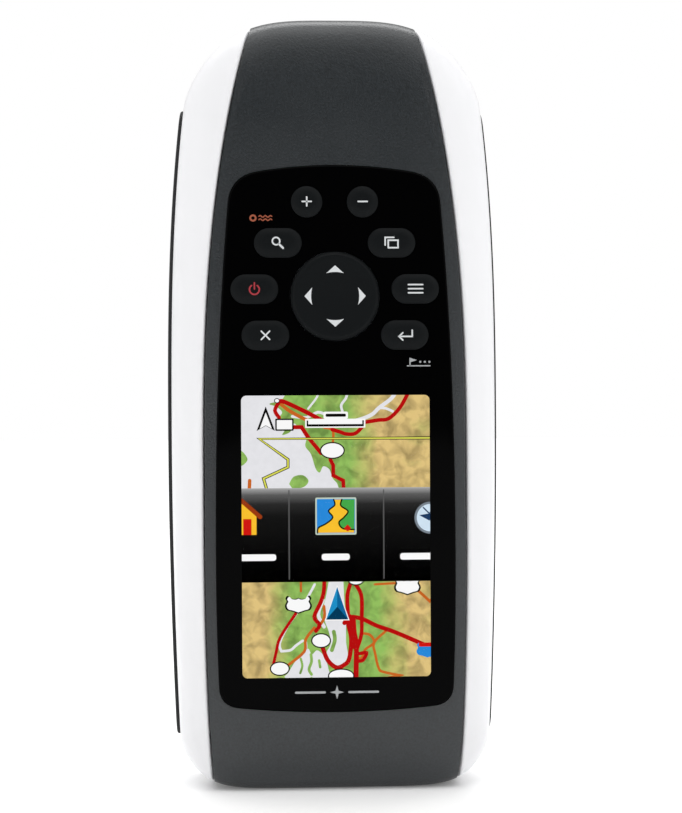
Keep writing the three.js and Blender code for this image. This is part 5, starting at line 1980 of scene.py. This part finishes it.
    def _side_icons(self) -> None:
        """The house and the compass, each cut off by the edge of the window."""
        wall = [(-19.0, 50.3), (-15.5, 50.3), (-15.5, 54.0), (-18.3, 56.4), (-19.0, 55.9)]
        roof = Line(((-19.0, 57.0), (-18.4, 57.0), (-14.8, 53.8)), 0.85, False)
        self._draw(13.5, "house_wall", ICON_YELLOW, areas=[wall])
        self._draw(14.5, "house_door", ICON_RED, boxes=[(-18.1, -16.5, 50.3, 53.4)])
        self._draw(15.5, "house_roof", ICON_ROOF, lines=[roof])
        for level, name, glow, radius in (
            (13.5, "compass_rim", COMPASS_GREY, 3.15),
            (14.5, "compass_dial", COMPASS_FACE, 2.7),
        ):
            sheet = self._sheet(level)
            sheet.disc(18.6, 53.4, radius, radius)
            self.pieces.append((sheet.piece(name), glow))
        needle = [(16.4, 53.9), (18.6, 52.7), (19.4, 53.3), (18.2, 54.2)]
        tail = Line(((17.2, 55.4), (18.4, 54.2)), 0.25, False)
        self._draw(15.5, "compass_needle", NEEDLE_BLUE, areas=[needle], lines=[tail])

    def build(self) -> list[tuple[bpy.types.Object, LitFinish]]:
        """All layers from the ground up."""
        self.ground()
        self.waters()
        self.roads()
        self.signs()
        self.pointer()
        self.menu()
        return self.pieces


# ---- Studio --------------------------------------------------------------------------------------


@dataclass
class Studio:
    """Pale floor, white surroundings, soft lights and the camera."""

    distance: float = 0.385
    azimuth: float = -3.0
    roll: float = -0.3
    aim: tuple[float, float, float] = (0.0018, 0.0, 0.0753)
    lens: float = 84.2
    strength: float = 0.96
    back_strength: float = 0.5
    dark_from: float = 0.8
    dark_to: float = 0.95

    def camera(self) -> None:
        """A long lens at the height of the unit's middle, a little to its left."""
        data = bpy.data.cameras.new("camera")
        data.lens = self.lens
        data.sensor_width = 36
        data.clip_start = 0.01
        turn = math.radians(self.azimuth)
        place = Vector((math.sin(turn), -math.cos(turn), 0)) * self.distance + Vector(self.aim)
        camera = bpy.data.objects.new("camera", data)
        look = (Vector(self.aim) - place).to_track_quat("-Z", "Y").to_euler()
        look.rotate_axis("Z", math.radians(self.roll))
        camera.location = place
        camera.rotation_euler = look
        bpy.context.scene.collection.objects.link(camera)
        bpy.context.scene.camera = camera

    def floor(self) -> None:
        """A wide pale disc that the unit stands on, which glows a little more the farther it lies."""
        outline = circle(0, 0, 4000, 96)
        points = np.stack([outline[:, 0], outline[:, 1], np.full(96, -0.02)], axis=1)
        floor = make_piece("floor", points, [list(range(96))])
        material, shader = new_material("floor_white")
        tree = material.node_tree
        place = new_node(tree, "TexCoord", {}).outputs["Object"]
        distance = new_node(tree, "VectorMath", {0: place}, operation="LENGTH").outputs["Value"]
        reach = {"Value": distance, "From Min": 0.15, "From Max": 0.6, "To Min": 0.12, "To Max": 0.4}
        lift = new_node(tree, "MapRange", reach).outputs["Result"]
        feed(shader, {"Base Color": (0.93, 0.93, 0.93, 1), "Roughness": 0.9, "Specular IOR Level": 0.1})
        feed(shader, {"Emission Color": (1, 1, 1, 1), "Emission Strength": lift})
        floor.data.materials.append(material)

    def surroundings(self) -> None:
        """White surroundings that darken towards the front, so that flat gloss stays black.

        The light from a direction is the strength times one less a smooth step of its closeness to -Y. The
        backdrop seen past the unit stays white.
        """
        world = bpy.data.worlds.new("studio")
        world.use_nodes = True
        tree = world.node_tree
        direction = new_node(tree, "TexCoord", {}).outputs["Generated"]
        facing = {0: direction, 1: (0, -1, 0)}
        closeness = new_node(tree, "VectorMath", facing, operation="DOT_PRODUCT").outputs["Value"]
        reach = {"Value": closeness, "From Min": self.dark_from, "From Max": self.dark_to}
        reach |= {"To Min": 1.0, "To Max": 0.0}
        dark = new_node(tree, "MapRange", reach, interpolation_type="SMOOTHSTEP").outputs["Result"]
        reach = {"Value": closeness, "From Min": -0.95, "From Max": -0.2}
        reach |= {"To Min": self.back_strength, "To Max": self.strength}
        glow = new_node(tree, "MapRange", reach).outputs["Result"]
        level = new_node(tree, "Math", {0: dark, 1: glow}, operation="MULTIPLY").outputs["Value"]
        seen = new_node(tree, "LightPath", {}).outputs["Is Camera Ray"]
        strength = new_node(tree, "Mix", {"B": 1.0, "Factor": seen, "A": level}).outputs["Result"]
        feed(tree.nodes["Background"], {"Color": (1, 1, 1, 1), "Strength": strength})
        bpy.context.scene.world = world

    def softbox(
        self, name: str, place: tuple[float, float, float], size: tuple[float, float], power: float
    ) -> None:
        """A rectangular light that faces the middle of the unit."""
        data = bpy.data.lights.new(name, "AREA")
        data.shape = "RECTANGLE"
        data.size, data.size_y = size
        data.energy = power
        light = bpy.data.objects.new(name, data)
        light.location = place
        light.rotation_euler = (Vector((0, 0, 0.08)) - Vector(place)).to_track_quat("-Z", "Y").to_euler()
        bpy.context.scene.collection.objects.link(light)

    def build(self) -> None:
        """Sets up the whole studio."""
        bpy.context.scene.view_settings.view_transform = "Standard"
        self.camera()
        self.floor()
        self.surroundings()
        self.softbox("top_light", (0.0, -0.2, 0.7), (0.6, 0.3), 0.72)
        self.softbox("back_light", (0.0, 0.22, 0.75), (0.8, 0.3), 2.9)
        self.softbox("key_light", (0.4, -0.3, 0.45), (0.2, 0.2), 0.2)


# ---- Assembly ------------------------------------------------------------------------------------


def dress_cad_nodes() -> None:
    """Gives every carried-over CAD node its procedural finish."""
    for finish, names in NODE_FINISHES.items():
        for name in names:
            dress(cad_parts[name], finish)


def main() -> None:
    """Builds the unit piece by piece."""
    logging.basicConfig(level=logging.INFO, format="%(message)s")
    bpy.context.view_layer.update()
    Studio().build()
    form = BodyForm()
    housing = Housing(form)
    lens = LensPanel()
    keypad = Keypad(
        (
            key_from_frame("zoom_in_key", Mark.PLUS),
            key_from_frame("zoom_out_key", Mark.MINUS),
            key_from_frame("find_key", Mark.SEARCH),
            key_from_frame("page_key", Mark.PAGES),
            key_from_frame("power_key", Mark.POWER),
            key_from_frame("menu_key", Mark.LIST),
            key_from_frame("quit_key", Mark.CLOSE),
            key_from_frame("enter_key", Mark.ACCEPT),
        )
    )
    dress_cad_nodes()
    settle(housing.rail(-1), "housing", "white_shell", WHITE_SHELL)
    settle(housing.rail(1), "housing", "white_shell", WHITE_SHELL, "front_housing")
    settle(housing.fascia(lens.sides(0.06)), "housing", "dark_shell", DARK_SHELL, "front_fascia")
    build_rear(form, housing)
    settle(housing.grip(-1), "housing", "grip_rubber", GRIP_RUBBER, "grip_left")
    settle(housing.grip(1), "housing", "grip_rubber", GRIP_RUBBER, "grip_right")
    settle(lens.panel(keypad.holes(lens.key_gap)), "housing", "gloss_black", GLOSS_BLACK, "lens_panel")
    settle(lens.window(), "housing", "clear_window", CLEAR, "display_window")
    for key in keypad.keys:
        settle(keypad.key_piece(key), key.node, "key_plastic", KEY_PLASTIC, key.node)
        tone = RED_MARK if key.mark is Mark.POWER else KEY_MARK
        settle(keypad.mark_piece(key), key.node, "key_plastic", tone)
    settle(keypad.rocker_piece(), "rocker_cap", "key_plastic", KEY_PLASTIC, "rocker_cap")
    settle(keypad.arrows_piece(), "rocker_cap", "key_plastic", KEY_MARK)
    for piece, finish in panel_marks(lens):
        settle(piece, "housing", "gloss_black", finish)
    for piece, glow in Display().build():
        settle(piece, "housing", "screen", glow)
    dress(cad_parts["lcd_glass"], SCREEN_GLASS)


if __name__ == "__main__":
    main()
